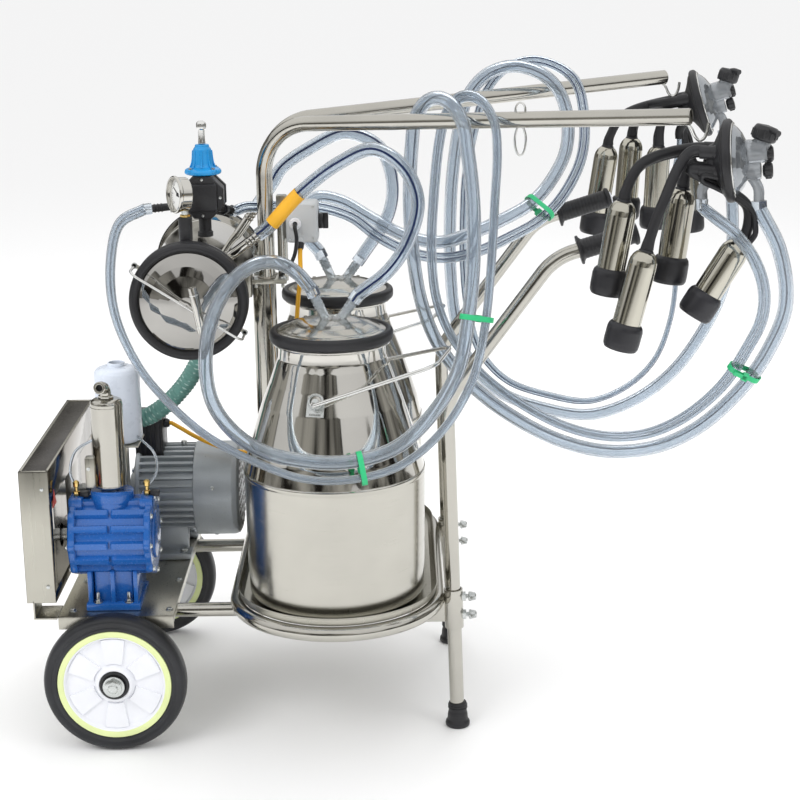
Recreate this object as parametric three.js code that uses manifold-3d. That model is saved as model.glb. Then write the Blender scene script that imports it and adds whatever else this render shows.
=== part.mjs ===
// Two-bucket mobile milking machine. Millimetres, +Z up, X along the trolley, -Y is its near side.
// The design is laid out about the trolley's centre plane and shifted at the end, so that the
// origin is at the bottom centre of the machine's box.
import * as THREE from 'three';
import { mergeVertices } from 'three/addons/utils/BufferGeometryUtils.js';
import Module from 'manifold-3d';

const wasm = await Module();
wasm.setup();

// ---- driving dimensions -------------------------------------------------------------------
const GAP = 0.3; // between pieces that touch
const ORIGIN_SHIFT = new THREE.Vector3(-4.3875, -1.5, 0);

const WHEEL = { x: -500, side: 262, radius: 125, width: 44, rimRadius: 99, bore: 10.5 };
const TUBE = 12.7; // radius of the 1-inch frame tube
const RAIL = { side: 168, height: 219, from: -592, to: 40 };
const HOOP = { x: -111, side: 176, radius: 178, height: 244.8 };
const TRAY = { radius: 174, floor: 258, rim: 272, sheet: 2 };
const DECK = { from: -600, to: -398, side: 232, top: 234, skirt: 24, sheet: 3 };
const COLUMN = { x: -237, radius: 21, top: 782, flangeThick: 8 };
const POST = { x: -231, side: 14.5, radius: 13.5, bend: 95, shoulder: 1062 };
const ARM_TIPS = { near: [463, -340, 1100], far: [523, 330, 1105] };
const LEG = { side: 193, foot: 100, knee: [84, 608], grip: [306, 864], bendKnee: 90, bendGrip: 100 };
const GRIP = { length: 101, radius: 17, flange: 24, rise: 0.3 };
const SLEEVE = { radius: 16.7, from: 190, to: 262, bore: 13.1 };
const SCREW_HEIGHTS = [213, 247];
const BUCKET = { x: -112, side: 176, base: 260.3, radius: 157, seam: 228, height: 452, neck: 92 };
const LID = { seat: 713, gasket: 106, dome: 94 };
const BAIL = { height: 631, reach: 205, halfWidth: 138, wire: 3.5, turn: 0.22, tilt: 0.3 };
const TANK = { x: -352, height: 784, radius: 90, half: 176, cap: 101, wall: 2 };
const GUARD = { from: -651, to: -600, side: 237, bottom: 262, top: 502, sheet: 1.5 };
const PUMP = { x: -506, y: -150, height: 358, length: 160, radius: 75 };
const MOTOR = { y: 130, height: 352, radius: 88, from: -515, finEnd: -385, to: -302 };
const PULLEY = { x: -626, motor: 38, pump: 57, width: 18, belt: 7 };
const MUFFLER = { x: -508, y: -150, radius: 28, from: 441, to: 606 };
const BOTTLE = { x: -503, y: -52, radius: 41, base: 503, top: 642 };
const SWITCH_BOX = { from: -192.7, to: -136, y: [-48, 8], height: [857, 928] };
const HOSE = 12; // radius of the clear milk and vacuum hoses
const PULSE = 10; // radius round the twin pulse hose

const BUCKET_SIDES = 18; // facets round a bucket

// ---- shape helpers ------------------------------------------------------------------------
const V = (x, y, z) => new THREE.Vector3(x, y, z);

// Merges shared vertices, drops collapsed triangles and turns every face outward.
function closed(source) {
  let geometry = source.index ? source.clone() : mergeVertices(source.clone(), 0);
  geometry.deleteAttribute('normal');
  geometry.deleteAttribute('uv');
  geometry = mergeVertices(geometry, 1e-3);
  const place = geometry.attributes.position;
  const index = geometry.index.array;
  const kept = [];
  let volume = 0;
  const [a, b, c] = [V(), V(), V()];
  for (let i = 0; i < index.length; i += 3) {
    const [p, q, r] = [index[i], index[i + 1], index[i + 2]];
    if (p === q || q === r || r === p) continue;
    kept.push(p, q, r);
    a.fromBufferAttribute(place, p);
    b.fromBufferAttribute(place, q);
    c.fromBufferAttribute(place, r);
    volume += a.dot(b.cross(c));
  }
  if (volume < 0) {
    for (let i = 0; i < kept.length; i += 3) [kept[i], kept[i + 1]] = [kept[i + 1], kept[i]];
  }
  geometry.setIndex(kept);
  return geometry;
}

function solid(geometry) {
  const shape = closed(geometry);
  return new wasm.Manifold(new wasm.Mesh({
    numProp: 3,
    vertProperties: new Float32Array(shape.attributes.position.array),
    triVerts: new Uint32Array(shape.index.array),
  }));
}

function shell(manifold) {
  const mesh = manifold.getMesh();
  const geometry = new THREE.BufferGeometry();
  geometry.setAttribute('position', new THREE.BufferAttribute(mesh.vertProperties, 3));
  geometry.setIndex(new THREE.BufferAttribute(mesh.triVerts, 1));
  return geometry;
}

const join = (...parts) => shell(parts.map(solid).reduce((all, next) => all.add(next)));
const cut = (body, ...tools) => shell(tools.map(solid).reduce((all, next) => all.subtract(next), solid(body)));

function block([x0, x1], [y0, y1], [z0, z1]) {
  const box = new THREE.BoxGeometry(x1 - x0, y1 - y0, z1 - z0);
  return box.translate((x0 + x1) / 2, (y0 + y1) / 2, (z0 + z1) / 2);
}

// A profile of [radius, height] turned about Z.
function turned(profile, segments = 24) {
  const points = profile.map(([radius, height]) => new THREE.Vector2(radius, height));
  return new THREE.LatheGeometry(points, segments).rotateX(Math.PI / 2);
}

// The same, with its axis laid from one point towards another.
function turnedAlong(start, towards, profile, segments = 16) {
  const turn = new THREE.Quaternion().setFromUnitVectors(V(0, 0, 1), towards.clone().sub(start).normalize());
  return turned(profile, segments).applyQuaternion(turn).translate(start.x, start.y, start.z);
}

const disc = (radius, low, high) => [[0, low], [radius, low], [radius, high], [0, high]];

// A path through listed points, with a section at each.
class Route extends THREE.Curve {
  constructor(points) {
    super();
    this.points = points;
  }

  getPoint(t) {
    const last = this.points.length - 1;
    const at = Math.min(Math.max(t, 0), 1) * last;
    const low = Math.min(Math.floor(at), last - 1);
    return this.points[low].clone().lerp(this.points[low + 1], at - low);
  }

  getPointAt(t) {
    return this.getPoint(t);
  }

  getTangentAt(t) {
    const last = this.points.length - 1;
    const near = Math.round(t * last);
    const before = this.points[Math.max(near - 1, 0)];
    const after = this.points[Math.min(near + 1, last)];
    return after.clone().sub(before).normalize();
  }
}

function sweep(points, section) {
  return new THREE.ExtrudeGeometry(section, {
    steps: points.length - 1, bevelEnabled: false, extrudePath: new Route(points),
  });
}

function oval(halfWidth, halfHeight, sides) {
  const points = [];
  for (let i = 0; i < sides; i += 1) {
    const angle = (2 * Math.PI * (i + 0.5)) / sides;
    points.push(new THREE.Vector2(halfWidth * Math.cos(angle), halfHeight * Math.sin(angle)));
  }
  return new THREE.Shape(points);
}

const pipe = (points, radius, sides = 10) => sweep(points, oval(radius, radius, sides));

// Corners of a path rounded to the given radii.
function rounded(corners, radii, perBend = 6) {
  const path = [corners[0]];
  for (let i = 1; i < corners.length - 1; i += 1) {
    const back = corners[i - 1].clone().sub(corners[i]).normalize();
    const on = corners[i + 1].clone().sub(corners[i]).normalize();
    const half = back.angleTo(on) / 2;
    const run = radii[i - 1] / Math.tan(half);
    const reach = radii[i - 1] / Math.sin(half);
    const middle = back.clone().add(on).normalize().multiplyScalar(reach).add(corners[i]);
    const first = corners[i].clone().addScaledVector(back, run).sub(middle);
    const last = corners[i].clone().addScaledVector(on, run).sub(middle);
    const sweepAngle = first.angleTo(last);
    for (let k = 0; k <= perBend; k += 1) {
      const t = k / perBend;
      const from = Math.sin((1 - t) * sweepAngle) / Math.sin(sweepAngle);
      const to = Math.sin(t * sweepAngle) / Math.sin(sweepAngle);
      path.push(first.clone().multiplyScalar(from).addScaledVector(last, to).add(middle));
    }
  }
  path.push(corners[corners.length - 1]);
  return path;
}

// Pulls the two halves of a round body apart along Y, so that its plan becomes an oval.
function stretched(geometry, side) {
  const place = geometry.attributes.position;
  for (let i = 0; i < place.count; i += 1) {
    const y = place.getY(i);
    if (Math.abs(y) > 1e-3) place.setY(i, y + Math.sign(y) * side);
  }
  return geometry;
}

// ---- the object ---------------------------------------------------------------------------
const layout = new THREE.Group();

function piece(name, geometry, color, roughness, metalness, place = V(0, 0, 0)) {
  const material = new THREE.MeshStandardMaterial({ color, roughness, metalness });
  const mesh = new THREE.Mesh(closed(geometry), material);
  mesh.name = name;
  mesh.position.copy(place);
  layout.add(mesh);
  return mesh;
}

const steel = (name, geometry, place) => piece(name, geometry, 0xc9c6c0, 0.2, 1, place);
const rubber = (name, geometry, place) => piece(name, geometry, 0x1b1b1d, 0.7, 0, place);

const SIDES = [['near', -1], ['far', 1]];

// -- trolley --
function hoopWithSleeves() {
  const hoop = new THREE.TorusGeometry(HOOP.radius, TUBE, 8, 24).rotateZ(Math.PI / 24);
  stretched(hoop, HOOP.side).translate(HOOP.x, 0, HOOP.height);
  const parts = [hoop];
  const bores = [];
  for (const [, side] of SIDES) {
    const low = legPoint(side, SLEEVE.from);
    const high = legPoint(side, SLEEVE.to);
    const length = high.distanceTo(low);
    parts.push(turnedAlong(low, high, disc(SLEEVE.radius, 0, length), 10));
    bores.push(turnedAlong(low, high, disc(SLEEVE.bore / Math.cos(Math.PI / 10), -20, length + 20), 10));
    parts.push(block([30, low.x - 4], [side * LEG.side - 2.5, side * LEG.side + 2.5], [200, 250]));
    for (const height of SCREW_HEIGHTS) {
      const at = legPoint(side, height);
      parts.push(turnedAlong(at, at.clone().add(V(1, 0, 0)), disc(9, 8, 22), 6));
      bores.push(turnedAlong(at, at.clone().add(V(1, 0, 0)), disc(4.6, 0, 40), 8));
    }
  }
  return cut(join(...parts), ...bores);
}

// The leg leans: its axis runs from the foot to the knee.
function legPoint(side, height) {
  const [kneeX, kneeZ] = LEG.knee;
  return V(LEG.foot + ((kneeX - LEG.foot) * height) / kneeZ, side * LEG.side, height);
}

function bucketTray() {
  const { radius, floor, rim, sheet } = TRAY;
  const profile = [[0, floor - sheet], [radius - 6, floor - sheet], [radius, floor + 2], [radius, rim],
    [radius - sheet, rim], [radius - sheet - 1, floor + 2], [radius - 8, floor], [0, floor]];
  const pan = turned(profile, 24).rotateZ(Math.PI / 24);
  stretched(pan, HOOP.side).translate(HOOP.x, 0, 0);
  const hole = turned(disc(COLUMN.radius + 1, floor - 20, floor + 20), 16).translate(COLUMN.x, 0, 0);
  return cut(pan, hole);
}

function chassis() {
  const { from, to, side, height } = RAIL;
  const parts = [];
  for (const [, sign] of SIDES) {
    const y = sign * side;
    parts.push(pipe([V(from, y, height), V(to, y, height)], TUBE, 8));
    parts.push(block([WHEEL.x - 28, WHEEL.x + 28], [y + sign * 30 - 3, y + sign * 30 + 3], [108, 232]));
    parts.push(block([DECK.from + 6, DECK.to - 6], [y - 8, y + 8], [height, DECK.top - 1]));
  }
  for (const x of [COLUMN.x, to - 10]) {
    parts.push(pipe([V(x, -side, height), V(x, side, height)], TUBE, 8));
  }
  const { side: deck, top, skirt, sheet } = DECK;
  parts.push(block([DECK.from, DECK.to], [-deck, deck], [top - sheet, top]));
  for (const [, sign] of SIDES) {
    const y = sign * (deck - sheet / 2);
    parts.push(block([DECK.from, DECK.to], [y - sheet / 2, y + sheet / 2], [top - skirt, top]));
  }
  const half = WHEEL.side + WHEEL.width / 2 + 12;
  const axle = [V(WHEEL.x, -half, WHEEL.radius), V(WHEEL.x, half, WHEEL.radius)];
  parts.push(pipe(axle, WHEEL.bore - 0.6, 10));
  for (const [, sign] of SIDES) {
    const collarAt = WHEEL.side - WHEEL.width / 2 - 9;
    const outerNut = WHEEL.side + WHEEL.width / 2 + 4;
    const start = V(WHEEL.x, 0, WHEEL.radius);
    const towards = start.clone().add(V(0, sign, 0));
    parts.push(turnedAlong(start, towards, disc(17, collarAt, collarAt + 6), 12));
    parts.push(turnedAlong(start, towards, disc(17, outerNut, outerNut + 8), 6));
  }
  return join(...parts);
}

function wheels() {
  const { radius, width, rimRadius, bore } = WHEEL;
  const half = width / 2;
  const seat = rimRadius + 2 * GAP;
  const tread = [[seat, -half + 4], [radius - 12, -half], [radius - 2, -half + 8], [radius, 0],
    [radius - 2, half - 8], [radius - 12, half], [seat, half - 4], [seat, -half + 4]];
  const dish = [[bore, -half + 2], [26, -half + 2], [32, -half + 13], [82, -half + 13], [88, -half + 4],
    [rimRadius, -half + 4], [rimRadius, half - 4], [88, half - 4], [82, half - 13], [32, half - 13],
    [26, half - 2], [bore, half - 2], [bore, -half + 2]];
  for (const [label, sign] of SIDES) {
    const place = V(WHEEL.x, sign * WHEEL.side, radius);
    rubber(`tyre_${label}`, turned(tread, 20).rotateX(Math.PI / 2), place);
    piece(`rim_${label}`, turned(dish, 20).rotateX(Math.PI / 2), 0xf0f0f2, 0.45, 0, place);
  }
}

function legs() {
  const axis = legPoint(1, 1).sub(legPoint(1, 0)).normalize();
  for (const [label, side] of SIDES) {
    const y = side * LEG.side;
    const foot = legPoint(side, 0);
    const [gripX, gripZ] = LEG.grip;
    const entry = V(gripX + 60, y, gripZ + 60 * GRIP.rise);
    const corners = [foot.clone().addScaledVector(axis, 12), V(LEG.knee[0], y, LEG.knee[1]),
      V(gripX - 40, y, gripZ - 40 * GRIP.rise), entry];
    const tube = pipe(rounded(corners, [LEG.bendKnee, LEG.bendGrip], 5), TUBE, 10);
    const boot = [[0, 0], [21, 0], [22, 8], [17, 24], [15.5, 46], [0, 46]];
    steel(`leg_handle_${label}`, join(tube, turned(boot, 16).translate(foot.x, y, 0)));

    const start = V(gripX, y, gripZ);
    const sleeveInner = TUBE + 3 * GAP;
    const run = Math.hypot(60, 60 * GRIP.rise) + GAP;
    const { length, radius, flange } = GRIP;
    const profile = [[0, length + 3], [radius, length + 3], [radius + 3, length - 4], [radius, length - 8],
      [radius, 9], [flange, 5], [flange, 0], [sleeveInner, 0], [sleeveInner, run], [0, run]];
    rubber(`grip_${label}`, turnedAlong(start, entry, profile, 14));
  }
}

function thumbScrews() {
  const wing = join(
    turned([[0, 0], [4, 0], [4, 12], [8, 13], [8, 22], [5, 26], [0, 26]], 8),
    block([-2, 2], [-15, 15], [16, 27]),
  ).rotateY(Math.PI / 2);
  for (const [label, side] of SIDES) {
    SCREW_HEIGHTS.forEach((height, index) => {
      const at = legPoint(side, height);
      steel(`thumb_screw_${label}_${index + 1}`, wing.clone(), V(at.x + TUBE + 1, at.y, at.z));
    });
  }
}

// -- column, posts and arms --
function column() {
  const { x, radius, top, flangeThick } = COLUMN;
  const parts = [turned(disc(radius, RAIL.height + TUBE + GAP, top), 16).translate(x, 0, 0)];
  parts.push(block([x - 20, x + 42], [-34, 34], [top, top + flangeThick]));
  for (const dx of [-13, 35]) {
    for (const y of [-26, 26]) {
      parts.push(turned(disc(5, top - 7, top + flangeThick + 5), 6).translate(x + dx, y, 0));
    }
  }
  parts.push(block([-211, -193], [-9, 9], [top - 10, 936]));
  return join(...parts);
}

function posts() {
  const foot = COLUMN.top + COLUMN.flangeThick + GAP;
  for (const [label, side] of SIDES) {
    const y = side * POST.side;
    const tip = V(...ARM_TIPS[label]);
    const corners = [V(POST.x, y, foot), V(POST.x, y, POST.shoulder), tip];
    const arm = pipe(rounded(corners, [POST.bend], 7), POST.radius, 10);
    const { x, z } = tip;
    const hookPath = [V(x - 6, tip.y, z - 8), V(x + 6, tip.y, z - 22), V(x + 12, tip.y, z - 34),
      V(x + 20, tip.y, z - 36), V(x + 26, tip.y, z - 26), V(x + 28, tip.y, z - 10)];
    steel(`post_${label}`, join(arm, pipe(hookPath, 3, 6)));
  }
}

// -- buckets --
function bucketBody() {
  const { radius, seam, height, neck } = BUCKET;
  const outer = [[0, 0], [148, 0], [152, 7], [radius, seam], [150, seam + 34], [122, seam + 118],
    [neck + 5, seam + 186], [neck, seam + 204], [neck, height - 5], [neck + 8, height - 4], [neck + 8, height]];
  const inner = [[neck - 2, height], [neck - 2, seam + 204], [neck + 3, seam + 186], [120, seam + 117],
    [148, seam + 33], [radius - 2.5, seam], [149, 8], [0, 2.5]];
  return turned([...outer, ...inner], BUCKET_SIDES);
}

function lug() {
  return join(block([-17, 17], [-4, 6], [-24, 24]), turned(disc(10, 0, 11), 8).rotateX(Math.PI / 2));
}

function bucketSets() {
  const lugHeight = BAIL.height - BUCKET.base;
  for (const [label, side] of SIDES) {
    const place = V(BUCKET.x, side * BUCKET.side, BUCKET.base);
    const parts = [bucketBody()];
    for (const turn of [0, Math.PI]) {
      parts.push(lug().rotateX(-0.46).translate(0, -114.5, lugHeight).rotateZ(turn - BAIL.turn));
    }
    const hollow = turned([[0, 260], [138, 260], [118, 344], [93, 410], [88, 470], [0, 470]], BUCKET_SIDES);
    steel(`bucket_${label}`, cut(join(...parts), hollow), place);

    const { halfWidth, reach, wire, tilt } = BAIL;
    const lean = (along, across) => V(along * Math.cos(tilt), across, along * Math.sin(tilt));
    const corners = [lean(0, -halfWidth + 7), lean(0, -halfWidth), lean(reach, -70), lean(reach, 70),
      lean(0, halfWidth), lean(0, halfWidth - 7)];
    const loop = pipe(rounded(corners, [4, 34, 34, 4], 4), wire, 6).rotateZ(-BAIL.turn);
    steel(`bail_${label}`, loop, V(BUCKET.x, side * BUCKET.side, BAIL.height));

    steel(`lid_${label}`, lid(), V(BUCKET.x, side * BUCKET.side, LID.seat));
  }
}

const LID_NOZZLES = [[V(-6, 0, 28), V(-27, -2, 76)], [V(10, 0, 28), V(38, 2, 65)]];

function lid() {
  const { gasket, dome } = LID;
  const profile = [[0, 14], [84, 14], [84, 0], [gasket - 3, 0], [gasket, 5], [gasket, 14], [gasket - 4, 19],
    [dome, 20], [60, 32], [0, 36]];
  const parts = [turned(profile, 18)];
  for (const [root, tip] of LID_NOZZLES) parts.push(pipe([root, tip], 8, 6));
  return join(...parts);
}

// -- vacuum tank and its fittings --
const TANK_NOZZLES = {
  near: [V(-298, -100, 838), V(-238, -100, 881)],
  far: [V(-300, 80, 838), V(-255, 80, 900)],
};
const SUCTION_INLET = [V(-530, -8, 452), V(-497, 8, 508)];
const PULSATOR_NOZZLES = {
  near: [V(-385, -92, 932), V(-418, -100, 930)],
  far: [V(-302, -20, 915), V(-292, 8, 908)],
};
const GLAND = [V(-168, -40, 866), V(-168, -54, 848)];
const TEAL_PORT = [V(-347, -20, 712), V(-347, -20, 680)];

function tankShell() {
  const { x, height, radius, half, wall, cap } = TANK;
  const barrel = [[radius, -half], [cap, -half], [cap, -half + 12], [radius, -half + 14],
    [radius, half + 6], [cap, half + 8], [cap, half + 22], [70, half + 36], [0, half + 44],
    [0, half + 42], [69, half + 34], [radius - wall, half + 10], [radius - wall, -half], [radius, -half]];
  const along = V(x, 0, height);
  const body = turnedAlong(along, V(x, 1, height), barrel, 18);
  const parts = [body, block([-268, COLUMN.x - COLUMN.radius - GAP], [-20, 20], [755, 812])];
  const bores = [];
  for (const [root, tip] of [...Object.values(TANK_NOZZLES), TEAL_PORT]) {
    const wide = root === TEAL_PORT[0] ? 15 : 8.5;
    parts.push(pipe([root, tip], wide, 8));
    const reach = tip.clone().sub(root).normalize();
    const inward = root.clone().addScaledVector(reach, -25);
    bores.push(pipe([inward, tip.clone().addScaledVector(reach, 5)], wide - 2, 8));
  }
  for (const point of clampEnds()) {
    const back = V(point.x, -TANK.half + 12, point.z);
    const inside = V(x, 0, height).sub(V(point.x, 0, point.z)).normalize().multiplyScalar(14);
    parts.push(pipe([back.clone().add(inside), back], 4, 6));
  }
  return cut(join(...parts), ...bores);
}

function tankCap() {
  const { cap } = TANK;
  const profile = [[cap, 0], [cap, 16], [cap - 6, 20], [cap - 12, 20], [70, 32], [0, 41],
    [0, 38], [69, 29], [cap - 15, 14], [cap - 15, 0], [cap, 0]];
  return turnedAlong(V(0, 0, 0), V(0, -1, 0), profile, 18);
}

// The wire clip runs across the near cap between two points on its edge.
function clampEnds() {
  const reach = 109;
  const slope = new THREE.Vector2(0.84, -0.545);
  return [-1, 1].map((sign) => V(TANK.x + sign * slope.x * reach, 0, TANK.height + sign * slope.y * reach));
}

function tankClamp() {
  const [start, end] = clampEnds();
  const back = -TANK.half - 6;
  const front = -TANK.half - 56;
  const corners = [V(start.x, back, start.z), V(start.x, front, start.z), V(end.x, front, end.z),
    V(end.x, back, end.z)];
  const wire = pipe(rounded(corners, [18, 18], 4), 2.2, 6);
  const lever = pipe([V(-339, front - 4, 814), V(-326, front - 4, 741)], 7.5, 10);
  return join(wire, lever);
}

function gaugeStack() {
  const stemX = -356;
  const stemY = -150;
  const foot = TANK.height + TANK.radius + 0.6;
  const facing = V(-0.86, -0.5, 0.05).normalize();
  const centre = V(stemX - 4, stemY, 961);
  const back = centre.clone().addScaledVector(facing, -9);
  const bowl = [[0, 0], [29, 0], [31, 4], [31, 24], [28, 24], [28, 14], [0, 14]];
  const stem = [[0, foot], [9, foot], [9, foot + 6], [11.5, foot + 12], [11.5, 922], [6, 924],
    [6, 940], [0, 940]];
  const body = join(turnedAlong(back, centre, bowl, 20), turned(stem, 12).translate(stemX, stemY, 0));
  steel('gauge_body', body);

  const dial = centre.clone().addScaledVector(facing, 5 + GAP);
  const needle = join(turned(disc(3.5, 0, 4), 10), block([-1, 1], [-6, 22], [1, 2.6]));
  const pointer = piece('gauge_needle', needle, 0x1b1b1d, 0.5, 0, dial);
  pointer.quaternion.setFromUnitVectors(V(0, 0, 1), facing);
}

function pulsatorAndRegulator() {
  const x = -332;
  const y = -62;
  const foot = TANK.height + TANK.radius + 0.6;
  const housing = new THREE.CylinderGeometry(40, 40, 58, 8).rotateY(Math.PI / 8).translate(x, y, 946);
  const stem = turned(disc(12, foot, 930), 12).translate(x, y, 0);
  const cover = block([x - 26, x + 26], [y - 34, y - 27], [922, 970]);
  const elbow = pipe([V(-350, -75, 932), ...PULSATOR_NOZZLES.near], 7, 8);
  const farElbow = pipe([V(-320, -50, 925), ...PULSATOR_NOZZLES.far], 7, 8);
  rubber('pulsator', join(housing, stem, cover, elbow, farElbow));

  const base = 983 + GAP;
  const body = [[0, base], [30, base], [32, base + 5], [30, base + 11], [21, base + 14], [19, base + 46],
    [12, base + 52], [0, base + 52]];
  piece('regulator_body', turned(body, 20).translate(x, y, 0), 0x1277d6, 0.4, 0);
  const knob = [[0, 0], [6.5, 0], [6, 24], [8.5, 26], [8.5, 36], [6, 39], [0, 39]];
  steel('regulator_screw', turned(knob, 14), V(x, y, base + 52 + GAP));
}

// -- pump, motor and belt drive --
function pumpBody() {
  const { x, y, height, length, radius } = PUMP;
  const end = length / 2;
  const hole = 12;
  const profile = [[hole, -end], [34, -end], [36, -end + 6], [radius - 4, -end + 6], [radius, -end + 10],
    [radius, -end + 24], [radius - 8, -end + 26], [radius - 8, -10], [radius - 3, -8], [radius - 3, 8],
    [radius - 8, 10], [radius - 8, end - 26], [radius, end - 24], [radius, end - 10], [radius - 4, end - 6], [0, end - 6],
    [0, end - 12], [hole, end - 12], [hole, -end]];
  const core = turnedAlong(V(x, y, height), V(x + 1, y, height), profile, 16);
  const parts = [core];
  parts.push(block([x - 48, x + 48], [y - 56, y + 56], [DECK.top + GAP, DECK.top + 14]));
  parts.push(block([x - 34, x + 34], [y - 40, y + 40], [DECK.top + 10, height - 40]));
  for (const dx of [-38, 38]) {
    for (const dy of [-46, 46]) {
      parts.push(turned(disc(7, DECK.top + 10, DECK.top + 24), 6).translate(x + dx, y + dy, 0));
    }
  }
  parts.push(turned([[0, height + 40], [34, height + 40], [30, height + 70], [34, height + 74],
    [34, MUFFLER.from - GAP], [0, MUFFLER.from - GAP]], 16).translate(MUFFLER.x, y, 0));
  for (const dx of [-62, 62]) {
    for (let i = 0; i < 4; i += 1) {
      const angle = Math.PI / 4 + (i * Math.PI) / 2;
      const cy = y + 58 * Math.cos(angle);
      const cz = height + 58 * Math.sin(angle);
      parts.push(block([x + dx - 12, x + dx + 12], [cy - 9, cy + 9], [cz - 9, cz + 9]));
    }
  }
  const inlet = [V(-530, -105, 390), ...SUCTION_INLET];
  parts.push(pipe(rounded(inlet, [36], 5), 14, 10));
  const bracket = block([BOTTLE.x - 38, BOTTLE.x + 38], [-92, -12], [BOTTLE.base - 4, BOTTLE.base - GAP]);
  parts.push(bracket, block([BOTTLE.x + 6, BOTTLE.x + 16], [-96, -60], [height + 30, BOTTLE.base - 2]));
  return join(...parts);
}

function rotor(inner, pulleyRadius, shaftRadius) {
  const { x, width } = PULLEY;
  const half = width / 2;
  const [low, high] = [x - half, x + half];
  const groove = pulleyRadius - 4;
  const profile = [[0, low - 6], [shaftRadius, low - 6], [shaftRadius, low], [pulleyRadius + 4, low],
    [pulleyRadius + 4, low + 3], [groove, low + 5], [groove, high - 5], [pulleyRadius + 4, high - 3],
    [pulleyRadius + 4, high], [shaftRadius + 6, high], [shaftRadius + 6, high + 6], [shaftRadius, high + 6],
    [shaftRadius, inner], [0, inner]];
  return turnedAlong(V(0, 0, 0), V(1, 0, 0), profile, 12);
}

function drive() {
  piece('pump_body', pumpBody(), 0x0f3fa0, 0.45, 0.2);
  const pumpAxis = V(0, PUMP.y, PUMP.height);
  steel('pump_rotor', rotor(PUMP.x + PUMP.length / 2 - 14, PULLEY.pump, 11.5), pumpAxis);
  const motorAxis = V(0, MOTOR.y, MOTOR.height);
  steel('motor_rotor', rotor(MOTOR.from + 60, PULLEY.motor, 11.5), motorAxis);
  rubber('v_belt', beltLoop());
  piece('motor_body', motorBody(), 0x73797d, 0.5, 0.3);
}

// The belt runs round both pulleys as an extruded ring.
function beltLoop() {
  const outline = (grow) => {
    const a = new THREE.Vector2(PUMP.y, PUMP.height);
    const b = new THREE.Vector2(MOTOR.y, MOTOR.height);
    const along = Math.atan2(b.y - a.y, b.x - a.x);
    const spread = Math.acos((PULLEY.pump - PULLEY.motor) / a.distanceTo(b));
    const points = [];
    const arc = (centre, radius, from, to) => {
      for (let k = 0; k <= 10; k += 1) {
        const angle = from + ((to - from) * k) / 10;
        points.push(new THREE.Vector2(centre.x + radius * Math.cos(angle), centre.y + radius * Math.sin(angle)));
      }
    };
    const clear = 1.015;
    arc(a, (PULLEY.pump - 4) * clear + grow, along + spread, along + 2 * Math.PI - spread);
    arc(b, (PULLEY.motor - 4) * clear + grow, along - spread, along + spread);
    return points;
  };
  const shape = new THREE.Shape(outline(PULLEY.belt));
  shape.holes.push(new THREE.Path(outline(GAP)));
  const belt = new THREE.ExtrudeGeometry(shape, { depth: PULLEY.belt, bevelEnabled: false });
  belt.rotateX(Math.PI / 2).rotateZ(Math.PI / 2);
  return belt.translate(PULLEY.x - PULLEY.belt / 2, 0, 0);
}

function motorBody() {
  const { y, height, radius, from, finEnd, to } = MOTOR;
  const fins = [];
  const count = 14;
  for (let i = 0; i < count; i += 1) {
    for (const [offset, reach] of [[-0.28, radius - 9], [-0.16, radius], [0.16, radius], [0.28, radius - 9]]) {
      const angle = ((i + offset) * 2 * Math.PI) / count;
      fins.push(new THREE.Vector2(reach * Math.cos(angle), reach * Math.sin(angle)));
    }
  }
  const depth = finEnd - from - 20;
  const barrel = new THREE.ExtrudeGeometry(new THREE.Shape(fins), { depth, bevelEnabled: false });
  barrel.rotateY(Math.PI / 2).translate(from + 20, y, height);
  const start = V(0, y, height);
  const along = V(1, y, height);
  const shield = turnedAlong(start, along, [[0, from], [30, from], [34, from + 8], [radius - 2, from + 12],
    [radius, from + 22], [0, from + 22]], 24);
  const cowl = turnedAlong(start, along, [[0, finEnd - 2], [radius + 2, finEnd - 2], [radius + 2, to - 12],
    [radius - 12, to], [0, to]], 24);
  const parts = [barrel, shield, cowl];
  for (const side of [-1, 1]) {
    const [pad, web] = [y + side * 62, y + side * 55];
    parts.push(block([from + 30, finEnd - 12], [pad - 22, pad + 22], [DECK.top + GAP, DECK.top + 14]));
    parts.push(block([from + 40, finEnd - 22], [web - 6, web + 6], [DECK.top + 10, height - 40]));
  }
  parts.push(block([-500, -446], [y - 34, y + 30], [height + 60, 506]));
  const shaftHole = turnedAlong(V(from - 5, y, height), V(0, y, height), disc(12, 0, 70), 16);
  return cut(join(...parts), shaftHole);
}

function beltGuard() {
  const { from, to, side, bottom, top, sheet } = GUARD;
  const box = block([from, to], [-side, side], [bottom, top]);
  const foot = block([from + 10, from + 13], [-side, -side + 60], [DECK.top, bottom + 4]);
  const flangePlate = block([from + 10, DECK.from - GAP], [-side, -side + 60], [DECK.top - 3, DECK.top + GAP]);
  const cavity = block([from + sheet, to - sheet], [-side + sheet, side - sheet], [bottom + sheet, top - sheet]);
  const holes = [PUMP, MOTOR].map(({ y, height }) => (
    turnedAlong(V(to - 8, y, height), V(to, y, height), disc(20, 0, 20), 16)
  ));
  return cut(join(box, foot, flangePlate), cavity, ...holes);
}

function mufflerBody() {
  const { x, y, radius, from, to } = MUFFLER;
  const can = turned([[0, from], [radius - 2, from], [radius, from + 4], [radius, to - 6], [radius - 5, to],
    [0, to]], 20).translate(x, y, 0);
  const spout = rounded([V(x, y, to - 6), V(x, y, to + 22), V(x - 6, y - 26, to + 26)], [14], 4);
  const strap = block([x - radius - 12, x - radius + 4], [y - 10, y + 10], [from + 6, from + 60]);
  return join(can, pipe(spout, 9.5, 10), strap);
}

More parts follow.
